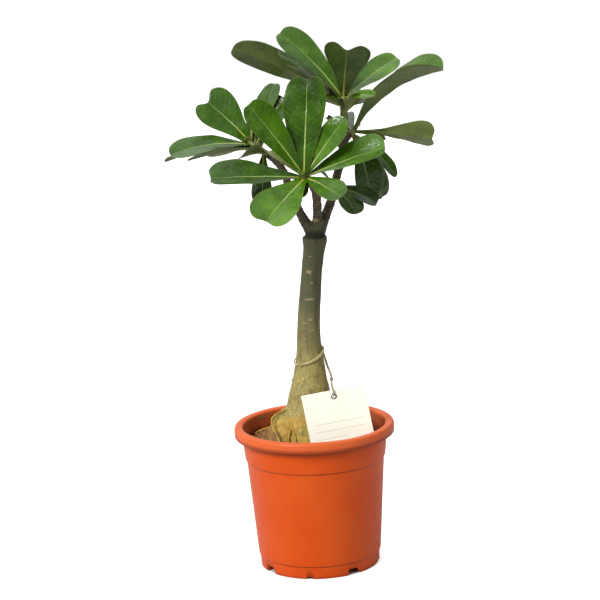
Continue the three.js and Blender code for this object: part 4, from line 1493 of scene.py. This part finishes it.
@dataclass
class Soil:
    """The potting mix: one body that fills the pot, with crumbs, coir and fine roots on top."""

    shop: Workshop
    level: float = 117.5
    rise: float = 4.0
    heap: Row = (-42, 16, 8, 18)
    edge_radius: float = 65.0
    bed: tuple[Row, ...] = ((0, 1.9), (28.9, 1.9), (31.9, 7.4), (52.1, 7.4), (56.5, 12.7), (63.5, 102.3))
    rings: int = 44
    steps: int = 132
    crumbs: int = 760
    crumb_spreads: tuple[Row, ...] = ((0.8, 1.8), (0.6, 1.1), (0.3, 0.7))
    strewn_to: float = 63.0
    under_trunk: Row = (-12, -8, 36)
    fibres: int = 150
    seed: int = 11
    fine_roots: tuple[Route, ...] = (
        Route((
            (-56, -28, 117.5, 0.5), (-52, -24, 119.6, 0.6), (-46, -21, 120.8, 0.7), (-40, -20, 120.4, 0.7),
            (-35, -22, 118, 0.6),
        )),
        Route(((-60, -14, 117.6, 0.4), (-55, -12, 119.4, 0.5), (-50, -14, 119.6, 0.5), (-45, -10, 118, 0.5))),
        Route(((-48, -38, 117.6, 0.5), (-44, -40, 119.6, 0.6), (-38, -41, 120, 0.6), (-32, -45, 117.6, 0.5))),
        Route(((40, 20, 117.4, 0.5), (46, 16, 119.4, 0.5), (50, 9, 119.2, 0.5), (52, 2, 117.4, 0.4))),
        Route(((-20, 50, 117.4, 0.5), (-10, 54, 119.4, 0.5), (0, 52, 119.2, 0.5), (8, 56, 117.4, 0.4))),
    )

    def ground(self, x: float, y: float) -> float:
        """The height of the soil's surface.

        Args:
            x: to the right of the pot's axis.
            y: behind it.

        Returns:
            The height above the table.
        """
        out = min(math.hypot(x, y) / self.edge_radius, 1.0)
        waves = math.sin(x / 6 + y / 9) + math.sin(-x / 11 + y / 5)
        lumps = noise.noise(Vector((x, y, 3.0)) / 7.0) * 1.6 + noise.noise(Vector((x, y, 9.0)) / 2.8) * 0.9
        heap_x, heap_y, height, spread = self.heap
        heap = height * math.exp(-(((x - heap_x) ** 2 + (y - heap_y) ** 2) / spread**2))
        return self.level + self.rise * (1 - out) + heap + 0.6 * waves + lumps * (1 - out**8 * 0.6)

    def build(self) -> None:
        """Fills the pot and strews the litter."""
        bm = bmesh.new()
        layer = bm.verts.layers.float.new("tone")
        top = [
            (self.edge_radius * (1 - ring / self.rings), self.level + self.rise * ring / self.rings)
            for ring in range(self.rings + 1)
        ]
        spun(bm, [*self.bed, *top], self.steps)
        for vert in bm.verts:
            x, y, z = vert.co / MM
            if z > self.level - 1:
                vert.co.z = self.ground(x, y) * MM
                vert[layer] = 0.3 + 0.3 * noise.noise(vert.co / (5 * MM))
        self.shop.finish(object_of(bm, "potting_mix", 70.0), Slot.SOIL, ["soil"])
        self.shop.finish(self._litter(), Slot.SOIL)

    def _litter(self) -> Object:
        """Loose crumbs, flakes of bark, coir and fine roots, as one piece.

        Returns:
            The piece.
        """
        chance = random.Random(self.seed)
        bm = bmesh.new()
        layer = bm.verts.layers.float.new("tone")
        for _ in range(self.fibres):
            x, y = self._spot(chance)
            self._fibre(bm, layer, chance, x, y)
        for root in self.fine_roots:
            centres, radii = root.sampled(1.2)
            for ring in swept_tube(bm, centres, radii, 6):
                for vert in ring:
                    vert[layer] = 0.97
        for _ in range(self.crumbs):
            x, y = self._spot(chance)
            size = chance.uniform(0.5, 1.5) * (1.8 if chance.random() < 0.12 else 1.0)
            sizes = [size * chance.uniform(*spread) for spread in self.crumb_spreads]
            shape = Matrix.Diagonal((*sizes, 1))
            turn = Matrix.Rotation(chance.uniform(0, FULL_TURN), 4, "Z")
            lean = Matrix.Rotation(chance.uniform(-0.6, 0.6), 4, "X")
            place = Matrix.Translation(Vector((x, y, self.ground(x, y) + size * 0.2)) * MM)
            crumb = bmesh.ops.create_icosphere(
                bm, subdivisions=1, radius=MM, matrix=place @ turn @ lean @ shape
            )["verts"]
            tone = chance.random() ** 1.5
            for vert in crumb:
                vert.co += Vector([chance.uniform(-0.12, 0.12) * size * MM for _ in range(3)])
                vert[layer] = tone
        return object_of(bm, "soil_litter", 50.0)

    def _spot(self, chance: random.Random) -> tuple[float, float]:
        """A place on the soil that the trunk doesn't cover.

        Args:
            chance: where it comes from.

        Returns:
            Its x and y.
        """
        trunk_x, trunk_y, reach = self.under_trunk
        while True:
            radius, angle = math.sqrt(chance.random()) * self.strewn_to, chance.uniform(0, FULL_TURN)
            x, y = radius * math.cos(angle), radius * math.sin(angle)
            if math.hypot(x - trunk_x, y - trunk_y) > reach:
                return x, y

    def _fibre(self, bm: BMesh, layer: object, chance: random.Random, x: float, y: float) -> None:
        """One curled fibre of coir.

        Args:
            bm: the mesh that it is added to.
            layer: the tone that its vertices carry.
            chance: where its shape comes from.
            x: where it starts.
            y: where it starts.
        """
        heading, reach = chance.uniform(0, FULL_TURN), chance.uniform(3, 9)
        rows = []
        for t in (0.0, 0.35, 0.7, 1.0):
            heading += chance.uniform(-0.5, 0.5)
            px, py = x + math.cos(heading) * reach * t, y + math.sin(heading) * reach * t
            if math.hypot(px, py) > self.edge_radius - 1:
                return
            hump = 1.2 * math.sin(math.pi * t) * chance.random()
            rows.append((px, py, self.ground(px, py) + 0.3 + hump, 0.22))
        centres, radii = Route(tuple(rows)).sampled(reach / 5)
        tone = chance.uniform(0.5, 0.9)
        for ring in swept_tube(bm, centres, radii, 4, (End.FLAT, End.FLAT)):
            for vert in ring:
                vert[layer] = tone


# ---- Trunk ----


@dataclass
class Trunk:
    """Everything woody, grown as one piece: swollen base, roots, stem, graft and branches."""

    shop: Workshop
    voxel: float = 0.85
    smoothing: int = 5
    buried: float = 100.0
    ring_spacing: float = 4.4
    graft: float = 316.0
    sample_step: float = 1.5
    batch: int = 4000
    limbs: tuple[tuple[Route, int], ...] = (
        (STEM, 56), (SCION_COLLAR, 40), (NUB, 20), *((route, 40) for route in BUTTRESSES),
    )
    branches: tuple[tuple[Route, int], ...] = (
        (LEFT_BRANCH, 24), (MIDDLE_BRANCH, 24), (RIGHT_BRANCH, 24), (LOW_RIGHT_SPUR, 20), (RIGHT_SPUR, 20),
        *((route, 20) for route in CUT_STUBS),
    )
    fine_roots: tuple[Route, ...] = (
        Route(((-37, -38, 143, 0.7), (-41, -40, 135, 0.7), (-42, -43, 127, 0.6), (-44, -44, 117, 0.6))),
        Route(((-24, -38, 137, 0.7), (-28, -43, 130, 0.7), (-29, -47, 124, 0.6), (-27, -51, 117, 0.6))),
        Route(((14, -28, 140, 0.9), (17, -32, 131, 0.8), (20, -36, 122, 0.8), (22, -39, 116, 0.6))),
        Route(((12, 30, 132, 1), (15, 36, 124, 0.9), (18, 41, 119.5, 0.8), (24, 46, 117, 0.6))),
    )

    def build(self) -> None:
        """Grows the limbs together, sculpts the bark, adds the surface roots and dresses it."""
        bm = bmesh.new()
        for route, sides in (*self.limbs, *self.branches):
            limb = bmesh.new()
            centres, radii = route.sampled(2.0)
            swept_tube(limb, centres, radii, sides, (End.FLAT, End.FLAT))
            joined(bm, limb)
        bmesh.ops.recalc_face_normals(bm, faces=bm.faces[:])
        trunk = object_of(bm, "trunk_wood")
        grown = trunk.modifiers.new("grown_together", "REMESH")
        grown.mode = "VOXEL"
        grown.voxel_size = self.voxel * MM
        mesh = applied(trunk)
        bm = bmesh.new()
        bm.from_mesh(mesh)
        self._cut_below(bm)
        for _ in range(self.smoothing):
            bmesh.ops.smooth_vert(
                bm, verts=bm.verts[:], factor=0.5, use_axis_x=True, use_axis_y=True, use_axis_z=True
            )
        layers = {name: bm.verts.layers.float.new(name) for name in ("branch", "root", "ring")}
        self._sculpt(bm, layers)
        self._surface_roots(bm)
        bpy.data.objects.remove(trunk)
        self.shop.finish(object_of(bm, "trunk_wood", 70.0), Slot.BARK, ["trunk"])

    def _cut_below(self, bm: BMesh) -> None:
        """Cuts off what is deep in the soil and closes the cut.

        Args:
            bm: the grown mesh.
        """
        everything = bm.verts[:] + bm.edges[:] + bm.faces[:]
        cut = bmesh.ops.bisect_plane(
            bm, geom=everything, plane_co=(0, 0, self.buried * MM), plane_no=(0, 0, 1), clear_inner=True
        )
        rim = only(BMEdge, cut["geom_cut"])
        bmesh.ops.holes_fill(bm, edges=rim, sides=0)

    def _nearness(
        self, places: np.ndarray, routes: Sequence[Route]
    ) -> tuple[np.ndarray, np.ndarray, np.ndarray]:
        """How far places are outside the nearest of some limbs.

        Args:
            places: rows of x, y, z.
            routes: the limbs.

        Returns:
            The distance outside, how far along the limb, and the angle round it.
        """
        centres, radii, along, first, second = [], [], [], [], []
        for route in routes:
            line, girth = route.sampled(self.sample_step)
            frames = turning_frames(line)
            centres.append(line)
            radii.append(girth)
            along.append(np.arange(len(line)) * self.sample_step)
            first.append(np.array([list(m.col[0])[:3] for m in frames]))
            second.append(np.array([list(m.col[1])[:3] for m in frames]))
        centre, radius, run = np.concatenate(centres), np.concatenate(radii), np.concatenate(along)
        side, other = np.concatenate(first), np.concatenate(second)
        outside, far, angle = (np.zeros(len(places)) for _ in range(3))
        for start in range(0, len(places), self.batch):
            part = slice(start, start + self.batch)
            gap = places[part, None, :] - centre[None, :, :]
            away = np.sqrt((gap**2).sum(2)) - radius[None, :]
            nearest = away.argmin(1)
            row = np.arange(len(nearest))
            outside[part] = away[row, nearest]
            far[part] = run[nearest]
            offset = gap[row, nearest]
            angle[part] = np.arctan2((offset * other[nearest]).sum(1), (offset * side[nearest]).sum(1))
        return outside, far, angle

    def _sculpt(self, bm: BMesh, layers: Layers) -> None:
        """Gives the bark its swellings, folds and ring scars.

        Args:
            bm: the grown mesh.
            layers: the numbers that its vertices carry.
        """
        bm.normal_update()
        places = np.array([vert.co for vert in bm.verts]) / MM
        stem_gap, _, _ = self._nearness(places, [route for route, _ in self.limbs])
        twig_gap, far, angle = self._nearness(places, [route for route, _ in self.branches])
        lead = np.clip((stem_gap - twig_gap + 0.6) / 2.4, 0, 1)
        branch = lead * lead * (3 - 2 * lead) * (places[:, 2] > self.graft)
        beat = far / self.ring_spacing + 0.22 * np.sin(angle * 2 + far * 0.9)
        ring = (0.5 + 0.5 * np.cos(beat * FULL_TURN)) ** 3
        for vert, place, share, scar in zip(bm.verts, places, branch, ring):
            spot = Vector(place)
            low = max(0.0, min(1.0, (175 - place[2]) / 40))
            swell = noise.noise(spot / 13.0) * (0.25 + 1.0 * low)
            swell += noise.noise(spot / 5.0) * (0.12 + 0.3 * low)
            swell += noise.noise(Vector((spot.x / 3.0, spot.y / 3.0, spot.z / 16.0))) * 0.16
            swell = swell * (1 - share) + share * (0.42 * scar - 0.12 + 0.2 * noise.noise(spot / 2.6))
            vert.co += vert.normal * swell * MM
            vert[layers["branch"]] = share
            vert[layers["ring"]] = scar

    def _surface_roots(self, bm: BMesh) -> None:
        """Adds the thin roots that run down over the swollen base.

        Args:
            bm: the grown mesh.
        """
        roots = bmesh.new()
        layer = roots.verts.layers.float.new("root")
        for k, route in enumerate((*SURFACE_ROOTS, *self.fine_roots)):
            centres, radii = route.sampled(1.0)
            wander = np.array([
                [noise.noise(Vector(centre) / 6.0 + Vector((k * 7.0, axis * 31.0, 0))) for axis in range(3)]
                for centre in centres
            ])
            ease = np.sin(np.linspace(0, math.pi, len(centres)))[:, None]
            knobs = [1 + 0.4 * noise.noise(Vector(centre) / 2) for centre in centres]
            girth = [0.8 * radius * knob for radius, knob in zip(radii, knobs)]
            for ring in swept_tube(roots, centres + wander * ease * 0.8, girth, 10):
                for vert in ring:
                    vert[layer] = 1.0
        joined(bm, roots)


# ---- Shoots ----


@dataclass(frozen=True)
class Leaf:
    """One leaf, sized as it is measured on the plant and degrees.

    It springs from its shoot at 'rise' up the stem. 'reach' is its base to its tip in a straight
    line, 'heading' the compass direction of that line and 'climb' its slope. 'bend' is how far the
    midrib turns, 'roll' and 'twist' turn the blade about it, 'fold' lifts its halves, 'notch' is the
    cleft at the tip, 'taper' how late it widens, 'stalk' its bare part and 'tone' how bright it is.
    """

    rise: float
    reach: float
    width: float
    heading: float
    climb: float
    bend: float
    roll: float
    notch: float = 0.0
    tone: float = 0.3
    fold: float = 12.0
    twist: float = 0.0
    taper: float = 0.3
    stalk: float = 0.0


@dataclass(frozen=True)
class Spray:
    """One rosette: its name, the branch that it ends, its stem's length, its leaves and the way that
    they face."""

    name: str
    branch: Route
    length: float
    leaves: tuple[Leaf, ...]
    facing: Row = (0, 0, 1)


SPRAYS = (
    Spray("shoot_front", MIDDLE_BRANCH, 9, facing=(0, -0.75, 0.66), leaves=(
        Leaf(8, 94, 39, 68, 77, 14, -14, 0.07, 0.15, fold=20, taper=0.16),
        Leaf(7, 86, 31, -174, 55, 12, 6, 0.03, 0.55, fold=18),
        Leaf(7, 66, 23, -10, 53, 12, -2, 0.0, 0.6),
        Leaf(6, 82, 37, -13, 19, 14, -20, 0.03, 0.5, fold=20),
        Leaf(4, 91, 37, -169, 4, 14, 20, 0.04, 0.1, fold=20),
        Leaf(5, 77, 42, -125, -25, 18, 4, 0.08, 0.8, fold=16),
        Leaf(6, 52, 25, -49, -16, 20, -5, 0.03, 0.6),
        Leaf(3, 45, 14, 148, 32, 20, 28, 0.0, 1.6),
        Leaf(1, 22, 13, -118, -42, 20, 20, 0.0, 0.2),
    )),
    Spray("shoot_top", RIGHT_BRANCH, 22, (
        Leaf(19, 117, 34, -168, 28, 16, 46, 0.01, 0.5),
        Leaf(20, 88, 32, 166, 47, 18, -36, 0.03, 0.6, fold=16),
        Leaf(21, 59, 42, -78, 64, 10, -22, 0.13, 0.1, fold=16, taper=0.55),
        Leaf(20, 67, 27, 23, 31, 14, 30, 0.02, 0.65),
        Leaf(21, 40, 12, -45, 6, 24, 30, 0.0, 0.7),
        Leaf(20, 30, 10, -125, 10, 24, -30, 0.0, 0.6),
        Leaf(12, 32, 14, -147, 26, 24, 28, 0.0, 0.5),
        Leaf(12, 40, 17, 50, 9, 24, 36, 0.03, 0.1),
        Leaf(15, 89, 15, -148, 38, 20, -36, 0.02, 0.1),
        Leaf(13, 82, 20, -138, 34, 24, -6, 0.02, 0.2),
        Leaf(17, 62, 26, 141, 31, 24, 2, 0.03, 0.3),
        Leaf(6, 29, 13, -40, 44, 20, -24, 0.0, 0.8),
        Leaf(16, 84, 32, 84, 22, 34, 0, 0.03, 0.4),
    )),
    Spray("shoot_left", LEFT_BRANCH, 20, (
        Leaf(18, 64, 40, 167, 44, 10, -50, 0.13, 0.4),
        Leaf(16, 80, 30, -162, -2, 30, -24, 0.01, 0.35, fold=12),
        Leaf(12, 66, 16, -176, -8, 20, 20, 0.02, 0.4),
        Leaf(9, 53, 22, 161, -8, 24, 24, 0.03, 0.5),
        Leaf(3, 38, 24, -126, 2, 24, 34, 0.02, 0.5),
        Leaf(18, 34, 14, 80, 72, 12, -45, 0.0, 0.3),
        Leaf(8, 46, 18, 57, 57, 16, -16, 0.0, 0.1),
        Leaf(16, 65, 22, 52, 55, 16, 0, 0.02, 0.2),
        Leaf(14, 54, 30, 26, 51, 16, 28, 0.02, 0.1),
        Leaf(4, 52, 20, -98, -60, 24, 20, 0.02, 0.0),
        Leaf(10, 70, 28, 106, 9, 30, 20, 0.04, 0.4),
        Leaf(14, 90, 18, 164, -9, 22, 16, 0.0, 0.5),
    )),
    Spray("shoot_low_right", LOW_RIGHT_SPUR, 6, (
        Leaf(4, 37, 24, -49, -40, 22, 4, 0.02, 0.35),
        Leaf(3, 43, 26, -1, -24, 22, 28, 0.02, -0.1),
        Leaf(5, 32, 12, -122, 34, 20, -40, 0.0, 0.2),
    )),
    Spray("shoot_right", RIGHT_SPUR, 7, (
        Leaf(6, 77, 35, -11, -7, 8, -50, 0.04, 0.9, fold=20, taper=0.6, stalk=0.32),
        Leaf(5, 32, 18, -18, -13, 20, -30, 0.0, 0.6),
        Leaf(3, 58, 16, -5, -47, 26, 28, 0.0, 0.1),
        Leaf(3.5, 64, 34, 12, -77, 22, 64, 0.03, -0.2),
        Leaf(2, 76, 26, 39, -61, 24, 76, 0.03, 0.1),
        Leaf(4, 58, 26, 104, 8, 30, -10, 0.03, 0.4),
        Leaf(6, 105, 43, -16, 32, 50, 0, 0.02, 0.45, fold=38, twist=22),
    )),
)


class Blade:
    """The shape of one leaf: where each part of its blade lies and how thick it is."""

    PETIOLE = 1.3
    LENGTHENING = 0.6
    STALK_RISE = 4
    RIB_EVENNESS = 0.45
    CLEFT_WIDTH = 0.19
    RIPPLE = 0.55
    RIPPLE_LENGTH = 7.5
    QUILT = 0.9

    def __init__(self, leaf: Leaf, base: Vector, facing: Vector, wave: float) -> None:
        """Settles the leaf's directions.

        Args:
            leaf: its sizes.
            base: where it springs from.
            facing: the way that its upper side turns.
            wave: where its margins' waves begin.
        """
        self.leaf, self.base, self.wave = leaf, base, wave
        self.bend = math.radians(leaf.bend)
        climb, heading = math.radians(leaf.climb), math.radians(leaf.heading)
        self.chord = Vector((
            math.cos(climb) * math.cos(heading), math.cos(climb) * math.sin(heading), math.sin(climb),
        ))
        self.side = self.chord.cross(facing).normalized()
        self.bow = self.side.cross(self.chord)
        self.arc = leaf.reach * (self.bend / 2) / math.sin(self.bend / 2)
        self.coil = self.arc / self.bend

    def swell(self, progress: float) -> float:
        """How wide the blade is on its way to the tip.

        Args:
            progress: how far along it is, from 0 to 1.

        Returns:
            The share of its greatest width, from 0 to 1.
        """
        taper = self.leaf.taper
        widest = (0.5 + taper) / (1 + taper)
        most = math.sqrt(widest * (1 - widest)) * widest**taper
        return math.sqrt(max(progress * (1 - progress), 0.0)) * progress**taper / most

    def half_width(self, along: float) -> float:
        """The distance from the midrib to the margin."""
        progress = (1 - math.cos(math.pi * along)) / 2
        return self.leaf.width / 2 * self.swell(progress) + self.PETIOLE * (1 - along)

    def place(self, across: float, along: float) -> tuple[Vector, Vector, float, float]:
        """A place on the blade.

        Args:
            across: from -1 to 1 over the midrib.
            along: from 0 at the stalk to 1 at the tip.

        Returns:
            The place, its upward direction, and how far it lies from the midrib and from the stalk.
        """
        leaf = self.leaf
        progress = (1 - math.cos(math.pi * along)) / 2
        edge_x = self.half_width(along)
        cleft = leaf.notch * self.arc * math.exp(-((edge_x / (leaf.width * self.CLEFT_WIDTH)) ** 2))
        stalk = leaf.stalk * (1 - (1 - along) ** self.STALK_RISE)
        gone = stalk + (1 - leaf.stalk) * progress**self.LENGTHENING
        edge_y = self.arc * gone - cleft
        rib_y = (1 - leaf.notch) * self.arc * (gone + self.RIB_EVENNESS * (along - gone))
        out = abs(across)
        x, y = edge_x * across, rib_y + (edge_y - rib_y) * out
        slope = self.bend / 2 - y / self.coil
        roll = math.radians(leaf.roll + leaf.twist * (y / self.arc - 0.5))
        forward = Matrix.Rotation(slope, 3, self.side) @ self.chord
        right = Matrix.Rotation(roll, 3, forward) @ self.side
        up = right.cross(forward)
        lift = abs(x) * math.tan(math.radians(leaf.fold)) * (1 - 0.12 * out)
        crest = y / self.RIPPLE_LENGTH + self.wave + (1.7 if across > 0 else 0.0)
        ripple = self.RIPPLE * out**2 * math.sin(crest)
        quilt = self.QUILT * noise.noise(Vector((x / 9, y / 14, self.wave * 5)))
        lift += (ripple * (1 - along**4) + quilt) * min(1.0, edge_x / 8)
        point = (
            self.base
            + self.chord * self.coil * (math.sin(self.bend / 2) - math.sin(slope))
            + self.bow * self.coil * (math.cos(slope) - math.cos(self.bend / 2))
            + right * x
            + up * lift
        )
        return point, up, x, y

    def thickness(self, across: float, x: float, along: float) -> tuple[float, float]:
        """How thick the leaf is above and below its middle.

        Args:
            across: from -1 to 1 over the midrib.
            x: the distance from the midrib.
            along: from 0 at the stalk to 1 at the tip.

        Returns:
            The thickness above and below.
        """
        round_stalk = math.sqrt(max(1 - across * across, 0.0))
        stalky = max(0.0, 1 - along / 0.2) ** 2
        rib = math.exp(-((x / 1.05) ** 2)) * (1 - along) ** 0.7
        lean = 0.25 * (1 - 0.55 * abs(across) ** 4)
        above = lean + 0.1 * rib
        below = lean + 0.75 * rib
        above = above * (1 - stalky) + (0.15 + 0.6 * round_stalk) * stalky
        below = below * (1 - stalky) + (0.15 + 1.05 * round_stalk) * stalky
        return above, below


@dataclass
class Shoot:
    """One leafy shoot: its green stem tip, its leaves and its growing bud."""

    shop: Workshop
    spray: Spray
    columns: int = 14
    rows: int = 30
    crowding: float = 1.5
    gap: float = 0.3
    sides: int = 20
    tip_length: float = 3.0
    stem_taper: Row = (1.0, 0.9, 0.65, 0.25)
    stem_step: float = 0.6
    bud_leaves: tuple[Row, ...] = ((-26, 8, 9.5), (30, -6, 8.0), (4, 20, 6.5))

    def build(self) -> None:
        """Grows the stem, the leaves and the bud, and dresses them."""
        bm = bmesh.new()
        layers = {name: bm.verts.layers.float.new(name) for name in BLADE_NUMBERS}
        line, _ = self.spray.branch.sampled(0.5)
        seat = Vector(line[-1])
        axis = (Vector(line[-1]) - Vector(line[-2])).normalized()
        radius = self.spray.branch.rows[-1][3]
        self._stem(bm, layers, seat, axis, radius)
        facing = Vector(self.spray.facing)
        for k, leaf in enumerate(self.spray.leaves):
            blade = Blade(leaf, seat + axis * leaf.rise, facing, 1.3 * k)
            self._leaf(bm, layers, blade)
        self._bud(bm, layers, seat + axis * self.spray.length, axis)
        name = self.spray.name
        self.shop.finish(object_of(bm, "leafy_" + name, 75.0), Slot.FOLIAGE, [name])

    def _stem(self, bm: BMesh, layers: Layers, seat: Vector, axis: Vector, radius: float) -> None:
        """Adds the green stem tip, with a swelling under each leaf.

        Args:
            bm: the shoot's mesh.
            layers: the numbers that its vertices carry.
            seat: where it stands.
            axis: the way that it grows.
            radius: its radius at the foot.
        """
        length = self.spray.length
        ups = (self.gap, length / 2, length, length + self.tip_length)
        rows = [(*(seat + axis * up), radius * share) for up, share in zip(ups, self.stem_taper)]
        centres, radii = Route(tuple(rows)).sampled(self.stem_step)
        rises = [leaf.rise for leaf in self.spray.leaves]
        girths = []
        for k, girth in enumerate(radii):
            up = k * self.stem_step + self.gap
            bumps = sum(math.exp(-(((up - rise + 0.6) / 0.8) ** 2)) for rise in rises)
            girths.append(girth * (1 + 0.06 * min(bumps, 2.0)))
        for ring in swept_tube(bm, centres, girths, self.sides, (End.FLAT, End.ROUND)):
            for vert in ring:
                vert[layers["stem"]] = 1.0
                vert[layers["tone"]] = 0.5

    def _leaf(self, bm: BMesh, layers: Layers, blade: Blade) -> None:
        """Adds one leaf: a grid for its upper face, drawn down to its underside, then shaped.

        Args:
            bm: the shoot's mesh.
            layers: the numbers that its vertices carry.
            blade: the leaf's shape.
        """
        grid = bmesh.ops.create_grid(bm, x_segments=self.columns, y_segments=self.rows, size=1.0)["verts"]
        for vert in grid:
            across, along = vert.co.x, (vert.co.y + 1) / 2
            vert[layers["across"]] = math.copysign(abs(across) ** self.crowding, across)
            vert[layers["along"]] = along
            vert[layers["upper"]] = Face.UPPER.value
        faces = list({face for vert in grid for face in vert.link_faces})
        drawn = bmesh.ops.extrude_face_region(bm, geom=faces, use_keep_orig=True)["geom"]
        lower = only(BMVert, drawn)
        for vert in lower:
            vert[layers["upper"]] = Face.UNDERSIDE.value
        leaf = blade.leaf
        for vert in grid + lower:
            across, along = vert[layers["across"]], vert[layers["along"]]
            point, up, x, y = blade.place(across, along)
            above, below = blade.thickness(across, x, along)
            shift = above if vert[layers["upper"]] > 0.5 else -below
            vert.co = (point + up * shift) * MM
            vert[layers["half"]] = blade.half_width(along)
            vert[layers["across"]], vert[layers["along"]] = x, y
            vert[layers["reach"]] = blade.arc
            vert[layers["tone"]] = leaf.tone
        skin = list({face for vert in grid + lower for face in vert.link_faces})
        bmesh.ops.recalc_face_normals(bm, faces=skin)
        bmesh.ops.remove_doubles(bm, verts=grid, dist=0.02 * MM)
        bmesh.ops.remove_doubles(bm, verts=lower, dist=0.02 * MM)

    def _bud(self, bm: BMesh, layers: Layers, tip: Vector, axis: Vector) -> None:
        """Adds the growing tip: a few young leaves folded round it.

        Args:
            bm: the shoot's mesh.
            layers: the numbers that its vertices carry.
            tip: where they spring from.
            axis: the way that the shoot grows.
        """
        climb = math.degrees(math.asin(max(-1.0, min(1.0, axis.z))))
        heading = math.degrees(math.atan2(axis.y, axis.x))
        facing = Vector(self.spray.facing)
        small = Shoot(self.shop, self.spray, columns=6, rows=10)
        for k, (turn, lean, reach) in enumerate(self.bud_leaves):
            young = Leaf(0, reach, 3.4, heading + turn, climb + lean, 20, 40 * k, 0.0, 1.3, fold=34)
            small._leaf(bm, layers, Blade(young, tip - axis, facing, k))


# ---- Tag ----


@dataclass
class HangTag:
    """The card that leans on the trunk's base, and the eyelet in its hole."""

    shop: Workshop
    width: float = 61.0
    height: float = 50.0
    thickness: float = 0.5
    top_left: Row = (-10.9, -32.0, 171.6)
    top_right: Row = (48.5, -18.0, 176.7)
    downward: Row = (9.0, -14.0, -43.0)
    hole_from_top: float = 6.0
    hole_radius: float = 2.0
    bow: float = 0.5
    eyelet_bore: float = 1.5
    eyelet_rim: float = 3.0
    eyelet_flange: float = 0.3
    clearance: float = 0.1

    def place(self) -> Matrix:
        """The card's own frame.

        Returns:
            Its top left corner, and its directions right, up and forward.
        """
        corner = Vector(self.top_left)
        right = (Vector(self.top_right) - corner).normalized()
        forward = -right.cross(Vector(self.downward)).normalized()
        up = forward.cross(right)
        turn = Matrix((right, up, forward)).transposed().to_4x4()
        return Matrix.Translation(corner * MM) @ turn @ Matrix.Scale(MM, 4)

    def _hole_middle(self) -> Matrix:
        """The middle of the hole, in the card's own frame."""
        return Matrix.Translation((self.width / 2, -self.hole_from_top, 0))

    def build(self) -> None:
        """Makes the card and its eyelet."""
        self._card()
        self._eyelet()

    def _card(self) -> None:
        """A sheet of card with a slight bow, soft corners and a punched hole."""
        bm = bmesh.new()
        front = bm.verts.layers.float.new("front")
        centre = Matrix.Translation((self.width / 2, -self.height / 2, 0))
        size = Matrix.Diagonal((self.width / 2, self.height / 2, 1, 1))
        bmesh.ops.create_grid(bm, x_segments=30, y_segments=24, size=1.0, matrix=centre @ size)
        drawn = bmesh.ops.extrude_face_region(bm, geom=bm.faces[:], use_keep_orig=True)["geom"]
        for vert in bm.verts:
            vert.co.z = -self.thickness / 2
        for vert in only(BMVert, drawn):
            vert.co.z = self.thickness / 2
            vert[front] = 1.0
        bmesh.ops.recalc_face_normals(bm, faces=bm.faces[:])
        corners = [edge for edge in bm.edges if self._is_corner(edge)]
        bmesh.ops.bevel(bm, geom=corners, offset=0.8, segments=3, profile=0.5, affect="EDGES", material=-1)
        flat = bm.loops.layers.uv.new("card")
        for face in bm.faces:
            for loop in face.loops:
                loop[flat].uv = loop.vert.co.xy
        card = object_of(bm, "hang_tag", 40.0)
        hole = bmesh.new()
        bmesh.ops.create_cone(
            hole, cap_ends=True, segments=40, radius1=self.hole_radius, radius2=self.hole_radius,
            depth=4, matrix=self._hole_middle(),
        )
        cut_away(card, hole)
        for vert in card.data.vertices:
            u, v = vert.co.x / self.width * 2 - 1, vert.co.y / self.height * 2 + 1
            waves = 0.12 * math.sin(u * 3 + v * 2)
            vert.co.z += self.bow * (0.25 - 0.5 * u * u * 0.6 - 0.3 * v * v) + waves
        card.data.transform(self.place())
        self.shop.finish(card, Slot.CARD, ["tag"])

    def _is_corner(self, edge: BMEdge) -> bool:
        """Tells the four short edges at the card's corners.

        Args:
            edge: one of the mesh's edges.

        Returns:
            Whether it is one.
        """
        first, second = (vert.co for vert in edge.verts)
        upright = (first.xy - second.xy).length < 0.001
        at_side = min(abs(first.x), abs(first.x - self.width)) < 0.001
        at_end = min(abs(first.y), abs(first.y + self.height)) < 0.001
        return upright and at_side and at_end

    def _eyelet(self) -> None:
        """A rolled metal ring, turned round the hole's axis."""
        bm = bmesh.new()
        inside = self.thickness / 2 + self.clearance
        barrel, outer = self.hole_radius - self.clearance, inside + self.eyelet_flange
        bore, rim = self.eyelet_bore, self.eyelet_rim
        section = (
            (bore, -outer + 0.1), (bore + 0.35, -outer), (rim - 0.25, -outer), (rim, -inside - 0.12),
            (rim - 0.1, -inside), (barrel, -inside), (barrel, inside), (rim - 0.1, inside),
            (rim, inside + 0.12), (rim - 0.25, outer), (bore + 0.35, outer), (bore, outer - 0.1),
        )
        verts = [bm.verts.new((radius, 0, height)) for radius, height in section]
        edges = [bm.edges.new(pair) for pair in zip(verts, verts[1:] + verts[:1])]
        bmesh.ops.spin(
            bm, geom=verts + edges, cent=(0, 0, 0), axis=(0, 0, 1), angle=FULL_TURN, steps=48, use_merge=True
        )
        bmesh.ops.recalc_face_normals(bm, faces=bm.faces[:])
        bmesh.ops.transform(bm, matrix=self.place() @ self._hole_middle(), verts=bm.verts[:])
        self.shop.finish(object_of(bm, "eyelet_ring", 50.0), Slot.METAL, ["tag_eyelet"])


def main() -> None:
    """Builds the studio and every piece of the plant."""
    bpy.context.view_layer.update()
    studio = Studio()
    studio.place_camera()
    shop = Workshop()
    twine = Twine(shop)
    twine.hang_strand()
    twine.tie_wrap()
    Pot(shop).build()
    Soil(shop).build()
    Trunk(shop).build()
    for spray in SPRAYS:
        Shoot(shop, spray).build()
    HangTag(shop).build()
    studio.lay_floor()
    studio.light()


if __name__ == "__main__":
    main()
